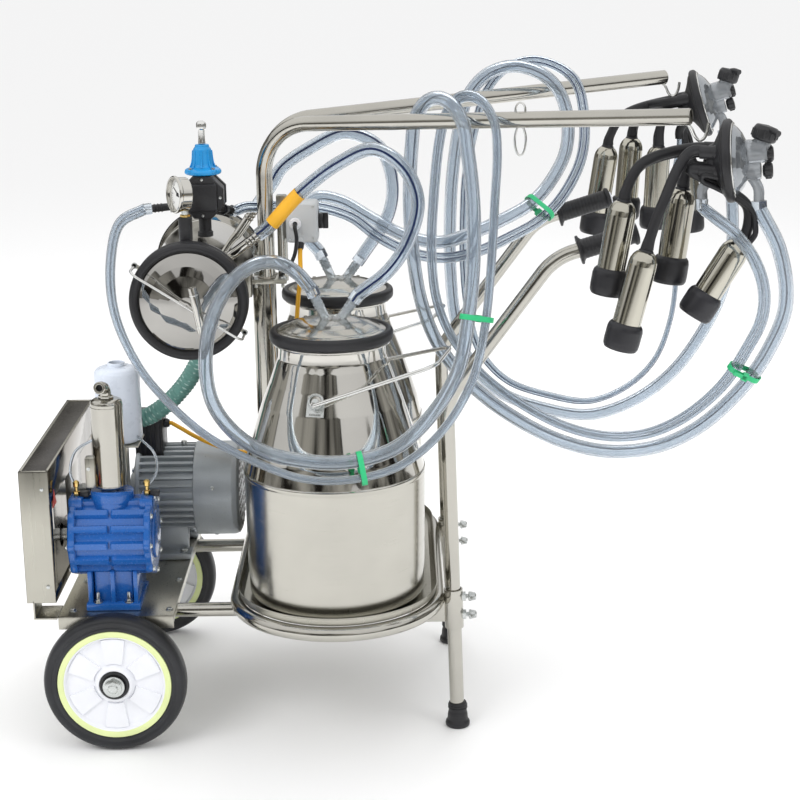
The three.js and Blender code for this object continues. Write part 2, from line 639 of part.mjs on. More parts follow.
function oilBottle() {
  const { radius, base, top } = BOTTLE;
  const height = top - base;
  const neck = 15;
  const outer = [[0, 0], [radius - 4, 0], [radius, 4], [radius, height - 12], [radius - 6, height - 4],
    [neck, height - 2], [neck, height + 6]];
  const inner = [[neck - 2, height + 6], [neck - 2, height - 4], [radius - 7, height - 6],
    [radius - 2, height - 13], [radius - 2, 6], [0, 3]];
  return turned([...outer, ...inner], 16);
}

// -- switch --
function switches() {
  const { from, to, y, height } = SWITCH_BOX;
  const gland = pipe(GLAND, 7, 8);
  piece('switch_box', join(block([from, to], y, height), gland), 0xc8ccd0, 0.5, 0);
  const knob = join(turned(disc(14, 0, 8), 16), block([-3, 3], [-14, 14], [6, 17])).rotateY(Math.PI / 2);
  piece('switch_knob', knob, 0x1b1b1d, 0.5, 0, V(to + GAP, (y[0] + y[1]) / 2, (height[0] + height[1]) / 2));
}

// -- milking clusters --
const CLUSTERS = {
  near: {
    claw: [526, -345, 1031],
    facing: [0.955, -0.28, 0.1],
    cups: [[[364, -330, 971], [338, -330, 816]], [[394, -382, 899], [354, -382, 738]],
      [[462, -296, 984], [441, -300, 828]], [[548, -352, 905], [474, -352, 784]]],
  },
  far: {
    claw: [595, 335, 1054],
    facing: [0.93, -0.2, 0.3],
    cups: [[[416, 330, 976], [390, 330, 802]], [[470, 385, 986], [458, 385, 822]],
      [[514, 322, 976], [508, 322, 812]], [[575, 380, 955], [590, 380, 795]]],
  },
};
const CUP = { shell: 23, mouth: 29, mouthLength: 36, bore: 12.5 };

function teatCup(length) {
  const { shell: wall, mouth, mouthLength, bore } = CUP;
  const shellEnd = length - mouthLength;
  return [[0, 0], [10, 0], [11, 8], [wall, 20], [wall, shellEnd], [mouth, shellEnd + 4],
    [mouth, length - 6], [mouth - 3, length], [bore, length], [bore, 34], [0, 34]];
}

// Places a point ahead of, beside and above the middle of a claw.
function clawFrame(label) {
  const { claw, facing } = CLUSTERS[label];
  const out = V(...facing).normalize();
  const across = out.clone().cross(V(0, 0, 1)).normalize();
  return (forward, sideways, rise) => V(...claw).addScaledVector(out, forward)
    .addScaledVector(across, sideways).add(V(0, 0, rise));
}

function cluster(label) {
  const { cups } = CLUSTERS[label];
  const at = clawFrame(label);
  const centre = at(0, 0, 0);
  const profile = [[0, -34], [26, -34], [30, -20], [58, -10], [65, -4], [65, 5], [58, 10], [46, 19], [0, 30]];
  const parts = [turnedAlong(centre, at(1, 0, 0), profile, 12)];
  parts.push(pipe([at(20, 0, 10), at(62, 0, 14)], 17, 6), pipe([at(46, 0, 14), at(56, 0, 46)], 13, 6));
  parts.push(pipe([at(20, -4, -14), at(62, -6, -20)], 14, 6));
  parts.push(pipe([at(30, 0, -20), at(46, 0, -46), at(48, 0, -66)], 8.5, 6));
  parts.push(pipe([at(-22, 8, -18), at(-40, 8, -40), at(-40, 8, -56)], 8.5, 6));
  parts.push(pipe([at(-20, 0, 4), at(-38, 0, 8)], 5, 6));
  cups.forEach(([top, mouth], index) => {
    const start = V(...top);
    const axis = start.clone().sub(V(...mouth)).normalize();
    const side = index % 2 ? 26 : -26;
    const rise = index < 2 ? 16 : -12;
    const path = new THREE.CatmullRomCurve3([at(-16, side, rise), at(-58, side, rise + 6),
      start.clone().addScaledVector(axis, 52).lerp(at(-60, side, rise), 0.18),
      start.clone().addScaledVector(axis, 12)]);
    parts.push(pipe([...path.getPoints(5), start.clone().addScaledVector(axis, GAP)], 9, 6));
    const length = start.distanceTo(V(...mouth));
    const cup = turned(teatCup(length), 12);
    const shellPiece = steel(`teat_cup_${label}_${index + 1}`, cup, start);
    shellPiece.quaternion.setFromUnitVectors(V(0, 0, 1), axis.clone().negate());
  });
  rubber(`claw_${label}`, join(...parts));
}

// -- hoses and cable: routes through hand-placed points, from fitting to fitting --
const HOSES = {
  hose_vacuum_near: [[-215, -102, 899], [-165, -106, 952], [-95, -118, 1006], [-35, -128, 1030],
    [15, -140, 1000], [38, -148, 945], [22, -158, 880], [-12, -168, 830]],
  hose_vacuum_far: [[-222, 86, 946], [-205, 88, 972], [-155, 92, 1006], [-90, 104, 1032],
    [-30, 125, 1005], [-6, 146, 945], [-12, 166, 875]],
  hose_milk_near: [[-168, -190, 832], [-198, -204, 852], [-232, -224, 854], [-267, -250, 835],
    [-300, -275, 785], [-315, -297, 715], [-305, -320, 645], [-270, -345, 600], [-220, -362, 570],
    [-155, -368, 555], [-80, -366, 552], [-5, -350, 570], [55, -315, 615], [100, -280, 680],
    [118, -255, 760], [128, -240, 855], [128, -230, 955], [120, -219, 1034], [113, -211, 1078],
    [97, -188, 1107], [75, -158, 1117], [53, -128, 1107], [36, -105, 1078], [30, -96, 1036],
    [25, -92, 940], [30, -88, 840], [45, -82, 750], [75, -82, 675], [135, -105, 605],
    [210, -140, 555], [285, -175, 525], [360, -205, 515], [435, -235, 530], [500, -265, 570],
    [560, -300, 640], [600, -330, 715], [622, -355, 800], [606, -366, 890]],
  hose_milk_far: [[-176, 184, 840], [-175, 200, 878], [-148, 206, 900], [-105, 190, 896],
    [-45, 150, 868], [15, 90, 845], [80, 40, 840], [135, 12, 860], [190, 30, 880], [245, 60, 905],
    [285, 100, 940], [315, 135, 990], [320, 160, 1045], [305, 175, 1095], [275, 185, 1125],
    [225, 197, 1140], [175, 212, 1125], [140, 225, 1085], [122, 235, 1020], [110, 240, 935],
    [105, 243, 850], [105, 246, 750], [115, 246, 650], [140, 244, 570], [200, 242, 505],
    [290, 240, 470], [380, 245, 455], [470, 260, 480], [545, 280, 530], [600, 292, 600],
    [640, 300, 680], [660, 306, 770], [658, 318, 880]],
  hose_pulse_near: [[-468, -142, 912], [-480, -190, 850], [-468, -245, 775], [-425, -300, 700],
    [-375, -335, 648], [-315, -360, 600], [-240, -375, 560], [-155, -379, 528], [-77, -377, 525],
    [5, -361, 544], [75, -326, 594], [124, -290, 668], [146, -265, 754], [157, -250, 855],
    [163, -243, 955], [167, -241, 1034], [163, -234, 1082], [147, -211, 1112], [125, -181, 1122],
    [103, -151, 1112], [86, -128, 1082], [76, -116, 1038], [66, -102, 940], [62, -90, 843],
    [71, -82, 757], [98, -82, 690], [153, -105, 625], [223, -140, 579], [292, -175, 551],
    [359, -205, 542], [424, -235, 555], [482, -265, 592], [535, -302, 655], [566, -338, 725],
    [582, -366, 780], [578, -392, 835], [558, -404, 885], [528, -399, 925], [502, -372, 945]],
  hose_pulse_far: [[-268, 38, 909], [-242, 46, 908], [-195, 58, 906], [-140, 72, 902], [-80, 86, 880],
    [-35, 84, 846], [22, 66, 819], [83, 30, 813], [146, -14, 832], [204, 4, 854], [262, 36, 880],
    [308, 78, 920], [342, 116, 980], [350, 152, 1047], [338, 178, 1108], [311, 201, 1134],
    [261, 213, 1149], [211, 228, 1134], [174, 240, 1090], [152, 244, 1018], [136, 245, 933],
    [131, 246, 850], [131, 248, 751], [141, 248, 657], [163, 246, 585], [215, 242, 528],
    [297, 240, 497], [379, 245, 483], [456, 264, 508], [512, 288, 556], [544, 314, 628],
    [556, 332, 710], [552, 340, 800], [546, 342, 890]],
  hose_suction: [[-455, 6, 532], [-420, 2, 557], [-386, -6, 594], [-361, -14, 634]],
};
const CABLE = [[-415, 110, 478], [-380, 95, 462], [-330, 72, 448], [-280, 56, 444], [-235, 46, 460],
  [-203, 32, 510], [-188, 8, 590], [-182, -20, 680], [-174, -48, 760], [-168, -66, 805]];

// The two hose nozzles of a claw, each as its last leg and its open end.
function clawNozzles(label) {
  const at = clawFrame(label);
  return {
    milk: [at(46, 0, -46), at(48, 0, -66)],
    pulse: [at(-40, 8, -40), at(-40, 8, -56)],
  };
}

// A hose leaves and meets its fittings straight, and is smooth in between.
function hosePath(from, points, to, steps) {
  const [start, end] = [from, to].map(([root, tip]) => {
    const out = tip.clone().sub(root).normalize();
    return [0.6, 14].map((distance) => tip.clone().addScaledVector(out, distance));
  });
  const curve = new THREE.CatmullRomCurve3([start[1], ...points.map((point) => V(...point)), end[1]],
    false, 'centripetal');
  return [start[0], ...curve.getSpacedPoints(steps), end[0]];
}

function hoses() {
  const lidNozzle = (side, index) => LID_NOZZLES[index].map((point) => (
    point.clone().add(V(BUCKET.x, side * BUCKET.side, LID.seat))
  ));
  const routes = [
    ['hose_vacuum_near', TANK_NOZZLES.near, lidNozzle(-1, 1), 14, HOSE],
    ['hose_vacuum_far', TANK_NOZZLES.far, lidNozzle(1, 1), 14, HOSE],
    ['hose_milk_near', lidNozzle(-1, 0), clawNozzles('near').milk, 52, HOSE],
    ['hose_milk_far', lidNozzle(1, 0), clawNozzles('far').milk, 50, HOSE],
    ['hose_pulse_near', PULSATOR_NOZZLES.near, clawNozzles('near').pulse, 54, PULSE],
    ['hose_pulse_far', PULSATOR_NOZZLES.far, clawNozzles('far').pulse, 50, PULSE],
  ];
  for (const [name, from, to, steps, radius] of routes) {
    piece(name, pipe(hosePath(from, HOSES[name], to, steps), radius, 8), 0xc4d2dc, 0.2, 0);
  }
  const suction = hosePath(SUCTION_INLET, HOSES.hose_suction, TEAL_PORT, 6);
  piece('hose_suction', pipe(suction, 17, 8), 0x4f8074, 0.5, 0);
  const cable = hosePath([V(-452, 116, 486), V(-445.5, 116, 486)], CABLE, GLAND, 20);
  piece('motor_cable', pipe(cable, 4, 8), 0xe0a020, 0.5, 0);
}

steel('base_hoop', hoopWithSleeves());
steel('bucket_tray', bucketTray());
steel('chassis', chassis());
wheels();
legs();
thumbScrews();
steel('column', column());
posts();
bucketSets();
steel('tank_shell', tankShell(), V(0, 0, 0));
steel('tank_cap', tankCap(), V(TANK.x, -TANK.half - GAP, TANK.height));
steel('tank_clamp', tankClamp());
gaugeStack();
pulsatorAndRegulator();
drive();
steel('belt_guard', beltGuard());
steel('muffler', mufflerBody());
piece('oil_bottle', oilBottle(), 0xe4ecf6, 0.35, 0, V(BOTTLE.x, BOTTLE.y, BOTTLE.base));
switches();
cluster('near');
cluster('far');
hoses();

layout.position.copy(ORIGIN_SHIFT);
const machine = new THREE.Group();
machine.add(layout);

export default machine;
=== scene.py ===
"""Two-bucket mobile milking machine: its finished looks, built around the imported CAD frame.

Lengths are laid out in millimetres about the trolley's centre plane, as in the CAD source, and
turned into metres in the frame's own place by metres(). -Y is the near side, +X the handles.
"""

import math

import bmesh
import bpy
import numpy as np
from mathutils import Matrix


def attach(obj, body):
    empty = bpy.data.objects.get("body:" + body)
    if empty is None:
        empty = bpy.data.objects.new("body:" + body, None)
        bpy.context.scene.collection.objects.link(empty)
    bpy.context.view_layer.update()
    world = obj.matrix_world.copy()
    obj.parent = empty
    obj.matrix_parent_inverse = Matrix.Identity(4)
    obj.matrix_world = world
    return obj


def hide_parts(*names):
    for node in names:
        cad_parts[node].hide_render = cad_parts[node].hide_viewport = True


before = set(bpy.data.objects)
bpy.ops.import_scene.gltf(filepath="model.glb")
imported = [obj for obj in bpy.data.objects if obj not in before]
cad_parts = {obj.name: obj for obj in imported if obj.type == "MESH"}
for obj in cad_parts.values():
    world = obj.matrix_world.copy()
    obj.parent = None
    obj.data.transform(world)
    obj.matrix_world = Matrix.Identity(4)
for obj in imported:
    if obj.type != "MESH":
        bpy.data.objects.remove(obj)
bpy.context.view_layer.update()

# ---- driving dimensions, as in the CAD source ----------------------------------------------
SHIFT = np.array([-4.3875, -1.5, 0.0])
SIDES = (("near", -1), ("far", 1))
WHEEL = dict(x=-500, side=262, radius=125)
TUBE = 12.7
RAIL = dict(side=168, height=219, start=-592, end=40, front=30)
HOOP = dict(x=-111, side=176, radius=178, height=244.8)
DECK = dict(start=-600, end=-398, side=232, top=234)
COLUMN = dict(x=-237, radius=21, top=782)
POST = dict(x=-231, side=14.5, radius=13.5, bend=95, shoulder=1062)
ARM_TIPS = dict(near=(463, -340, 1100), far=(523, 330, 1105))
LEG_SIDE, FOOT_X, KNEE, HAND = 193, 100, (84, 608), (306, 864)
SCREW_HEIGHTS = (213, 247)
BUCKET = dict(x=-112, side=176, base=260.3, radius=157, seam=228, height=452, neck=92)
LID_SEAT = 713
BAIL = dict(height=631, reach=205, half=138, wire=3.5, turn=0.22, tilt=0.3)
TANK = dict(x=-352, height=784, radius=90, half=176, cap=101)
GUARD = dict(x0=-651, x1=-600, side=237, bottom=262, top=502)
PUMP = dict(x=-506, y=-150, height=358)
MOTOR = dict(y=130, height=352, radius=88, start=-515, fins=-385, end=-302)
PULLEY = dict(x=-626, motor=38, pump=57)
GAUGE = dict(centre=(-360, -150, 961), facing=(-0.86, -0.5, 0.05), stem=(-356, -150, 0))
PULSATOR = dict(x=-332, y=-62, height=946, top=983.3)
BOTTLE = dict(place=(-503, -52, 503), radius=41)
SWITCH = dict(left=-192.7, right=-136, low=857, high=928)
KNOB = dict(face=-135.7, y=-20, height=892.5)
HOSE, PULSE = 12.0, 10.0


def sizes(group, names):
    """Some of a group's values, by name."""
    return [group[name] for name in names.split()]


def metres(points):
    """Layout millimetres in the frame's metres."""
    return (np.asarray(points, float) + SHIFT) * 0.001


def unit(v):
    v = np.asarray(v, float)
    return v / np.linalg.norm(v)


def vec(*xyz):
    return np.array(xyz, float)


UP = vec(0, 0, 1)


# ---- camera -----------------------------------------------------------------------------------
def camera():
    """The view of the machine from its near side, slightly from above."""
    pitch, yaw, roll = math.radians(15.12), math.radians(0.07), math.radians(-0.77)
    ahead = vec(math.sin(yaw) * math.cos(pitch), math.cos(yaw) * math.cos(pitch), -math.sin(pitch))
    right = vec(math.cos(yaw), -math.sin(yaw), 0)
    up = np.cross(right, ahead)
    across = right * math.cos(roll) + up * math.sin(roll)
    upright = up * math.cos(roll) - right * math.sin(roll)
    data = bpy.data.cameras.new("camera")
    data.sensor_width, data.lens = 36, 79.24
    data.clip_start, data.clip_end = 0.05, 200
    cam = bpy.data.objects.new("camera", data)
    bpy.context.scene.collection.objects.link(cam)
    matrix = Matrix.Identity(4)
    for i, column in enumerate((across, upright, -ahead, metres((0, -3109.9, 1396.4)))):
        for j in range(3):
            matrix[j][i] = column[j]
    cam.matrix_world = matrix
    bpy.context.scene.camera = cam


camera()


# ---- materials --------------------------------------------------------------------------------
BUMP_DEPTH = 0.0004


def material(name, colour, rough, metallic=0.0, tint=0.12, grain=60, bump=0.1, bump_grain=None, spread=0.25,
             **sockets):
    """A procedural finish: colour that varies by tint, roughness that varies by spread, and bump.

    A grain is how fine the variation is, as one number or one for each axis.
    """
    made = bpy.data.materials.new(name)
    made.use_nodes = True
    nodes, links = made.node_tree.nodes, made.node_tree.links
    shader = nodes["Principled BSDF"]
    place = nodes.new("ShaderNodeTexCoord")

    def noise(scale, detail, low, high):
        stretch = nodes.new("ShaderNodeMapping")
        stretch.inputs["Scale"].default_value = np.broadcast_to(scale, 3)
        texture = nodes.new("ShaderNodeTexNoise")
        texture.inputs["Scale"].default_value = 1
        texture.inputs["Detail"].default_value = detail
        span = nodes.new("ShaderNodeMapRange")
        span.inputs["From Min"].default_value, span.inputs["From Max"].default_value = 0.3, 0.7
        span.inputs["To Min"].default_value, span.inputs["To Max"].default_value = low, high
        links.new(place.outputs["Object"], stretch.inputs["Vector"])
        links.new(stretch.outputs["Vector"], texture.inputs["Vector"])
        links.new(texture.outputs["Fac"], span.inputs["Value"])
        return span.outputs["Result"]

    mix = nodes.new("ShaderNodeMix")
    mix.data_type = "RGBA"
    mix.inputs["A"].default_value = (*[c * (1 - tint) for c in colour[:3]], 1)
    mix.inputs["B"].default_value = (*[min(1, c * (1 + tint)) for c in colour[:3]], 1)
    links.new(noise(14, 3, 0, 1), mix.inputs["Factor"])
    links.new(mix.outputs["Result"], shader.inputs["Base Color"])
    links.new(noise(grain, 4, rough * (1 - spread), rough * (1 + spread)), shader.inputs["Roughness"])
    shader.inputs["Metallic"].default_value = metallic
    if bump:
        relief = nodes.new("ShaderNodeBump")
        relief.inputs["Strength"].default_value = bump
        relief.inputs["Distance"].default_value = BUMP_DEPTH
        links.new(noise(bump_grain or grain, 2, 0, 1), relief.inputs["Height"])
        links.new(relief.outputs["Normal"], shader.inputs["Normal"])
    for key, value in sockets.items():
        shader.inputs[key.replace("_", " ")].default_value = value
    return made


MIRROR = material("mirror_steel", (0.6, 0.585, 0.545), 0.07, 1, 0.03, (30, 30, 4), 0.03, (25, 25, 4))
SATIN = material("satin_steel", (0.5, 0.485, 0.425), 0.3, 1, 0.04, (300, 300, 8), 0.03, spread=0.12)
# Painted shade: the guard's own steel darkened to stand for the shadow inside the belt guard.
SHADED = material("guard_inside_painted_shade", (0.2, 0.175, 0.14), 0.12, 1, 0.2, (40, 40, 8), 0.03)
CUP_STEEL = material("cup_steel", (0.52, 0.5, 0.43), 0.13, 1, 0.04, (30, 30, 4), 0.03)
SMOKED = material("claw_bowl", (0.3, 0.32, 0.34), 0.06, 0.7, 0.05, 60, 0.02, Coat_Weight=0.6)
BUCKET_SATIN = material("bucket_satin", (0.52, 0.505, 0.455), 0.22, 1, 0.04, (12, 12, 900), 0.04)
TUBING = material("tube_steel", (0.5, 0.485, 0.44), 0.14, 1, 0.04, 220, 0.03)
WIRE = material("bright_wire", (0.78, 0.78, 0.76), 0.16, 1, 0.05, 300, 0.05)
DARK_MIRROR = material("cap_steel", (0.4, 0.39, 0.37), 0.05, 1, 0.05, 30, 0.01)
WELD = material("weld_bead", (0.5, 0.47, 0.42), 0.35, 1, 0.2, 500, 0.4)
ZINC = material("zinc_plate", (0.62, 0.64, 0.63), 0.3, 1, 0.1, 400, 0.1)
BRASS = material("brass", (0.78, 0.55, 0.2), 0.25, 1, 0.08, 300, 0.05)
RUBBER = material("black_rubber", (0.014, 0.014, 0.016), 0.46, 0, 0.25, 900, 0.12)
LINER = material("liner_rubber", (0.014, 0.014, 0.017), 0.38, 0, 0.3, 300, 0.1)
TYRE = material("tyre_rubber", (0.017, 0.018, 0.021), 0.42, 0, 0.3, 600, 0.15)
WHITE = material("white_nylon", (0.82, 0.83, 0.87), 0.38, 0, 0.03, 200, 0.05)
LIME = material("lime_band", (0.74, 0.82, 0.4), 0.42, 0, 0.06, 200, 0.08)
PUMP_BLUE = material("pump_enamel", (0.014, 0.11, 0.4), 0.24, 0, 0.08, 260, 0.12, Coat_Weight=0.5)
VALVE_BLUE = material("regulator_enamel", (0.01, 0.27, 0.62), 0.35, 0, 0.1, 260, 0.2, Coat_Weight=0.2)
MOTOR_GREY = material("motor_enamel", (0.4, 0.43, 0.45), 0.36, 0.3, 0.1, 300, 0.25)
BLACK = material("black_plastic", (0.018, 0.018, 0.02), 0.36, 0, 0.25, 400, 0.12)
LIGHT_GREY = material("switch_plastic", (0.55, 0.57, 0.58), 0.42, 0, 0.04, 500, 0.12)
DIAL = material("dial_white", (0.8, 0.8, 0.78), 0.4, 0, 0.02, 200, 0)
DARK_PANEL = material("dark_panel", (0.05, 0.045, 0.04), 0.3, 0.6, 0.3, (90, 500, 90), 0.1)
RED = material("red_label", (0.6, 0.05, 0.03), 0.45, 0, 0.15, 200, 0.05)
YELLOW = material("yellow_sheath", (0.82, 0.42, 0.02), 0.4, 0, 0.08, 300, 0.08)
CLIP = material("green_band", (0.03, 0.5, 0.2), 0.38, 0, 0.1, 300, 0.08)
STRIPE = material("hose_stripe", (0.01, 0.02, 0.07), 0.2, 0, 0.1, 200, 0)
VINYL = material("clear_vinyl", (0.66, 0.72, 0.78), 0.05, 0, 0.03, 40, 0, Transmission_Weight=0.9, IOR=1.42,
                 Coat_Weight=0.3)
TEAL = material("teal_vinyl", (0.2, 0.42, 0.37), 0.22, 0, 0.12, 90, 0.05, Transmission_Weight=0.35, IOR=1.3)
MILKY = material("milky_plastic", (0.74, 0.8, 0.9), 0.3, 0, 0.02, 60, 0, Coat_Weight=0.2)
TEAL_RIB = material("teal_rib", (0.42, 0.6, 0.55), 0.25, 0, 0.08, 90, 0.05)
SMOKED_CLEAR = material("claw_moulding", (0.36, 0.38, 0.4), 0.08, 0, 0.1, 60, 0.05, Transmission_Weight=0.6,
                        IOR=1.35, Coat_Weight=0.5)
CLEAR = material("clear_moulding", (0.86, 0.9, 0.93), 0.06, 0, 0.02, 60, 0.02, Transmission_Weight=0.85,
                 IOR=1.35)


# ---- shapes -----------------------------------------------------------------------------------
def basis(axis):
    """Three unit vectors at right angles; the last is the axis."""
    w = unit(axis)
    u = unit(np.cross((0, 0, 1) if abs(w[2]) < 0.9 else (1, 0, 0), w))
    return u, np.cross(w, u), w


def curve_through(points, step=6.0):
    """Centripetal Catmull-Rom through the points, as evenly spaced points."""
    points = [np.asarray(p, float) for p in points]
    held = [2 * points[0] - points[1], *points, 2 * points[-1] - points[-2]]
    line = [points[0]]
    for p0, p1, p2, p3 in zip(held, held[1:], held[2:], held[3:]):
        knots = [0.0]
        for a, b in ((p0, p1), (p1, p2), (p2, p3)):
            knots.append(knots[-1] + max(np.linalg.norm(b - a), 1e-6) ** 0.5)
        t0, t1, t2, t3 = knots
        for t in np.linspace(t1, t2, 17)[1:]:
            a1 = (t1 - t) / (t1 - t0) * p0 + (t - t0) / (t1 - t0) * p1
            a2 = (t2 - t) / (t2 - t1) * p1 + (t - t1) / (t2 - t1) * p2
            a3 = (t3 - t) / (t3 - t2) * p2 + (t - t2) / (t3 - t2) * p3
            b1 = (t2 - t) / (t2 - t0) * a1 + (t - t0) / (t2 - t0) * a2
            b2 = (t3 - t) / (t3 - t1) * a2 + (t - t1) / (t3 - t1) * a3
            line.append((t2 - t) / (t2 - t1) * b1 + (t - t1) / (t2 - t1) * b2)
    return evenly(line, step)


def run_along(line):
    """The distance along a line to each of its points."""
    return np.concatenate([[0], np.cumsum(np.linalg.norm(np.diff(line, axis=0), axis=1))])


def evenly(line, step):
    """The same line with its points about a step apart."""
    line = np.asarray(line, float)
    run = run_along(line)
    at = np.linspace(0, run[-1], max(2, int(round(run[-1] / step)) + 1))
    return np.stack([np.interp(at, run, line[:, i]) for i in range(3)], axis=1)


def rounded(corners, radii, per_bend=14):
    """The corners' path with an arc of each radius at each bend."""
    corners = [np.asarray(c, float) for c in corners]
    path = [corners[0]]
    for before, corner, after, radius in zip(corners, corners[1:], corners[2:], radii):
        back, on = unit(before - corner), unit(after - corner)
        half = math.acos(float(np.clip(back @ on, -1, 1))) / 2
        middle = unit(back + on) * radius / math.sin(half) + corner
        first = corner + back * radius / math.tan(half) - middle
        last = corner + on * radius / math.tan(half) - middle
        sweep = math.acos(float(np.clip(unit(first) @ unit(last), -1, 1)))
        for k in range(per_bend + 1):
            t = k / per_bend
            path.append(middle + (first * math.sin((1 - t) * sweep)
                                  + last * math.sin(t * sweep)) / math.sin(sweep))
    path.append(corners[-1])
    return np.array(path)


def soft_profile(profile, radius=1.5, steps=3):
    """The same outline with its inner corners rounded."""
    points = [np.asarray(p, float) for p in profile]
    made = [points[0]]
    for before, corner, after in zip(points, points[1:], points[2:]):
        back, on = before - corner, after - corner
        run = min(radius, 0.45 * np.linalg.norm(back), 0.45 * np.linalg.norm(on))
        if run < 0.05:
            made.append(corner)
            continue
        start, end = corner + unit(back) * run, corner + unit(on) * run
        for k in range(steps + 1):
            t = k / steps
            made.append((1 - t) ** 2 * start + 2 * t * (1 - t) * corner + t ** 2 * end)
    made.append(points[-1])
    return made


class Shape:
    """Closed surfaces in layout millimetres, made into one object that rides on a body."""

    def __init__(self):
        self.points, self.faces, self.slots, self.count = [], [], [], 0
        self.bores = []

    def add(self, points, faces, slot=0):
        self.points.append(np.asarray(points, float))
        self.faces += [[i + self.count for i in face] for face in faces]
        self.slots += [slot] * len(faces)
        self.count += len(points)
        return self

    def lathe(self, profile, start, axis, segments, slot=0, soft=1.2, stretch=0.0):
        """A profile of (radius, height) turned about the axis, its corners rounded by soft."""
        u, v, w = basis(axis)
        start = np.asarray(start, float)
        closed = np.allclose(profile[0], profile[-1])
        if soft:
            profile = soft_profile(profile, soft)
        if closed:
            profile = profile[:-1]
        points, rings = [], []
        for radius, height in profile:
            if radius < 1e-6:
                rings.append([len(points)])
                points.append(start + w * height)
                continue
            rings.append(list(range(len(points), len(points) + segments)))
            for k in range(segments):
                angle = 2 * math.pi * (k + 0.5) / segments
                point = start + u * radius * math.cos(angle) + v * radius * math.sin(angle) + w * height
                if stretch:
                    point[1] += stretch if point[1] > start[1] else -stretch
                points.append(point)
        pairs = list(zip(rings, rings[1:])) + ([(rings[-1], rings[0])] if closed else [])
        faces = []
        for low, high in pairs:
            for k in range(segments):
                nxt = (k + 1) % segments
                if len(low) == 1 and len(high) == 1:
                    continue
                if len(low) == 1:
                    faces.append([low[0], high[nxt], high[k]])
                elif len(high) == 1:
                    faces.append([low[k], low[nxt], high[0]])
                else:
                    faces.append([low[k], low[nxt], high[nxt], high[k]])
        if not closed:
            for ring in (rings[0], rings[-1]):
                if len(ring) > 1:
                    faces.append(ring)
        return self.add(points, faces, slot)

    def tube(self, path, radius, sides=20, slot=0, loop=False, stripe=None, lean=None, offset=None,
             bore=False):
        """A tube along the path. offset shifts it beside the path; stripe is (first side, sides, slot)."""
        path = np.asarray(path, float)
        count = len(path)
        radii = np.full(count, radius, float) if np.isscalar(radius) else np.asarray(radius, float)
        if loop:
            tangents = np.roll(path, -1, 0) - np.roll(path, 1, 0)
        else:
            tangents = np.gradient(path, axis=0)
        tangents /= np.linalg.norm(tangents, axis=1)[:, None]
        first = tangents[0]
        u = basis(first)[0] if lean is None else unit(np.asarray(lean) - first * (first @ lean))
        frames = []
        for t in tangents:
            u = unit(u - t * (u @ t))
            frames.append((u, np.cross(t, u)))
        if loop:
            twist = math.atan2(frames[0][0] @ frames[-1][1], frames[0][0] @ frames[-1][0])
        points = []
        for i, (u, v) in enumerate(frames):
            extra = twist * i / count if loop else 0
            centre = path[i] + (u * offset if offset else 0)
            for k in range(sides):
                angle = 2 * math.pi * k / sides + extra
                points.append(centre + radii[i] * (u * math.cos(angle) + v * math.sin(angle)))
        rows = count if loop else count - 1
        plain, marked = [], []
        for i in range(rows):
            a, b = i * sides, ((i + 1) % count) * sides
            for k in range(sides):
                nxt = (k + 1) % sides
                face = [a + k, a + nxt, b + nxt, b + k]
                if stripe and (k - stripe[0]) % sides < stripe[1]:
                    marked.append(face)
                else:
                    plain.append(face)
        if not loop:
            plain.append(list(range(sides)))
            plain.append(list(range((count - 1) * sides, count * sides)))
        if bore:
            self.bores.append((self.count, self.count + len(points)))
        self.add(points, plain, slot)
        if marked:
            self.count -= len(points)
            self.points.pop()
            self.add(points, marked, stripe[2])
        return self

    def disc(self, radius, low, high, *place):
        """A plain disc or rod, from low to high on its axis; place is the rest of a lathe's values."""
        return self.lathe([(0, low), (radius, low), (radius, high), (0, high)], *place)

    def ring(self, inner, outer, low, high, *place):
        """A plain ring or pipe, from low to high on its axis."""
        return self.lathe([(inner, low), (outer, low), (outer, high), (inner, high), (inner, low)], *place)

    def loft(self, outlines, slot=0):
        """Outlines with the same number of points, joined in order and closed at both ends."""
        count, last = len(outlines[0]), len(outlines) - 1
        faces = []
        for row in range(last):
            for k in range(count):
                n = (k + 1) % count
                faces.append([row * count + k, row * count + n, (row + 1) * count + n, (row + 1) * count
                              + k])
        faces += [list(range(count)), list(range(last * count, (last + 1) * count))]
        return self.add(np.vstack(outlines), faces, slot)

    def prism(self, outline, start, axis, length, slot=0, inset=0):
        """An outline of (across, rise) carried along the axis, with a chamfer of inset at both ends."""
        outline = np.asarray(outline, float)
        w = unit(axis)
        across = unit(np.cross((0, 0, 1), w))
        rise = np.cross(w, across)
        heart = outline.mean(0) if inset else np.zeros(2)
        small = 1 - inset / np.linalg.norm(outline - heart, axis=1).max()
        steps = [(0, small), (inset, 1), (length - inset, 1), (length, small)]
        if not inset:
            steps = steps[::3]
        return self.loft([[np.asarray(start, float) + across * a + rise * b + w * h
                           for a, b in (outline - heart) * scale + heart] for h, scale in steps], slot)

    def box(self, xs, ys, zs, bevel=1.5, slot=0, steps=2):
        """A box with rounded edges."""
        size = [xs[1] - xs[0], ys[1] - ys[0], zs[1] - zs[0]]
        middle = vec(sum(xs) / 2, sum(ys) / 2, sum(zs) / 2)
        bm = bmesh.new()
        bmesh.ops.create_cube(bm, size=1)
        bmesh.ops.scale(bm, vec=size, verts=bm.verts)
        bevel = min(bevel, 0.45 * min(size))
        if bevel > 0:
            bmesh.ops.bevel(bm, geom=bm.edges[:], offset=bevel, segments=steps, profile=0.5, affect="EDGES")
        points = np.array([v.co for v in bm.verts]) + middle
        faces = [[v.index for v in f.verts] for f in bm.faces]
        bm.free()
        return self.add(points, faces, slot)

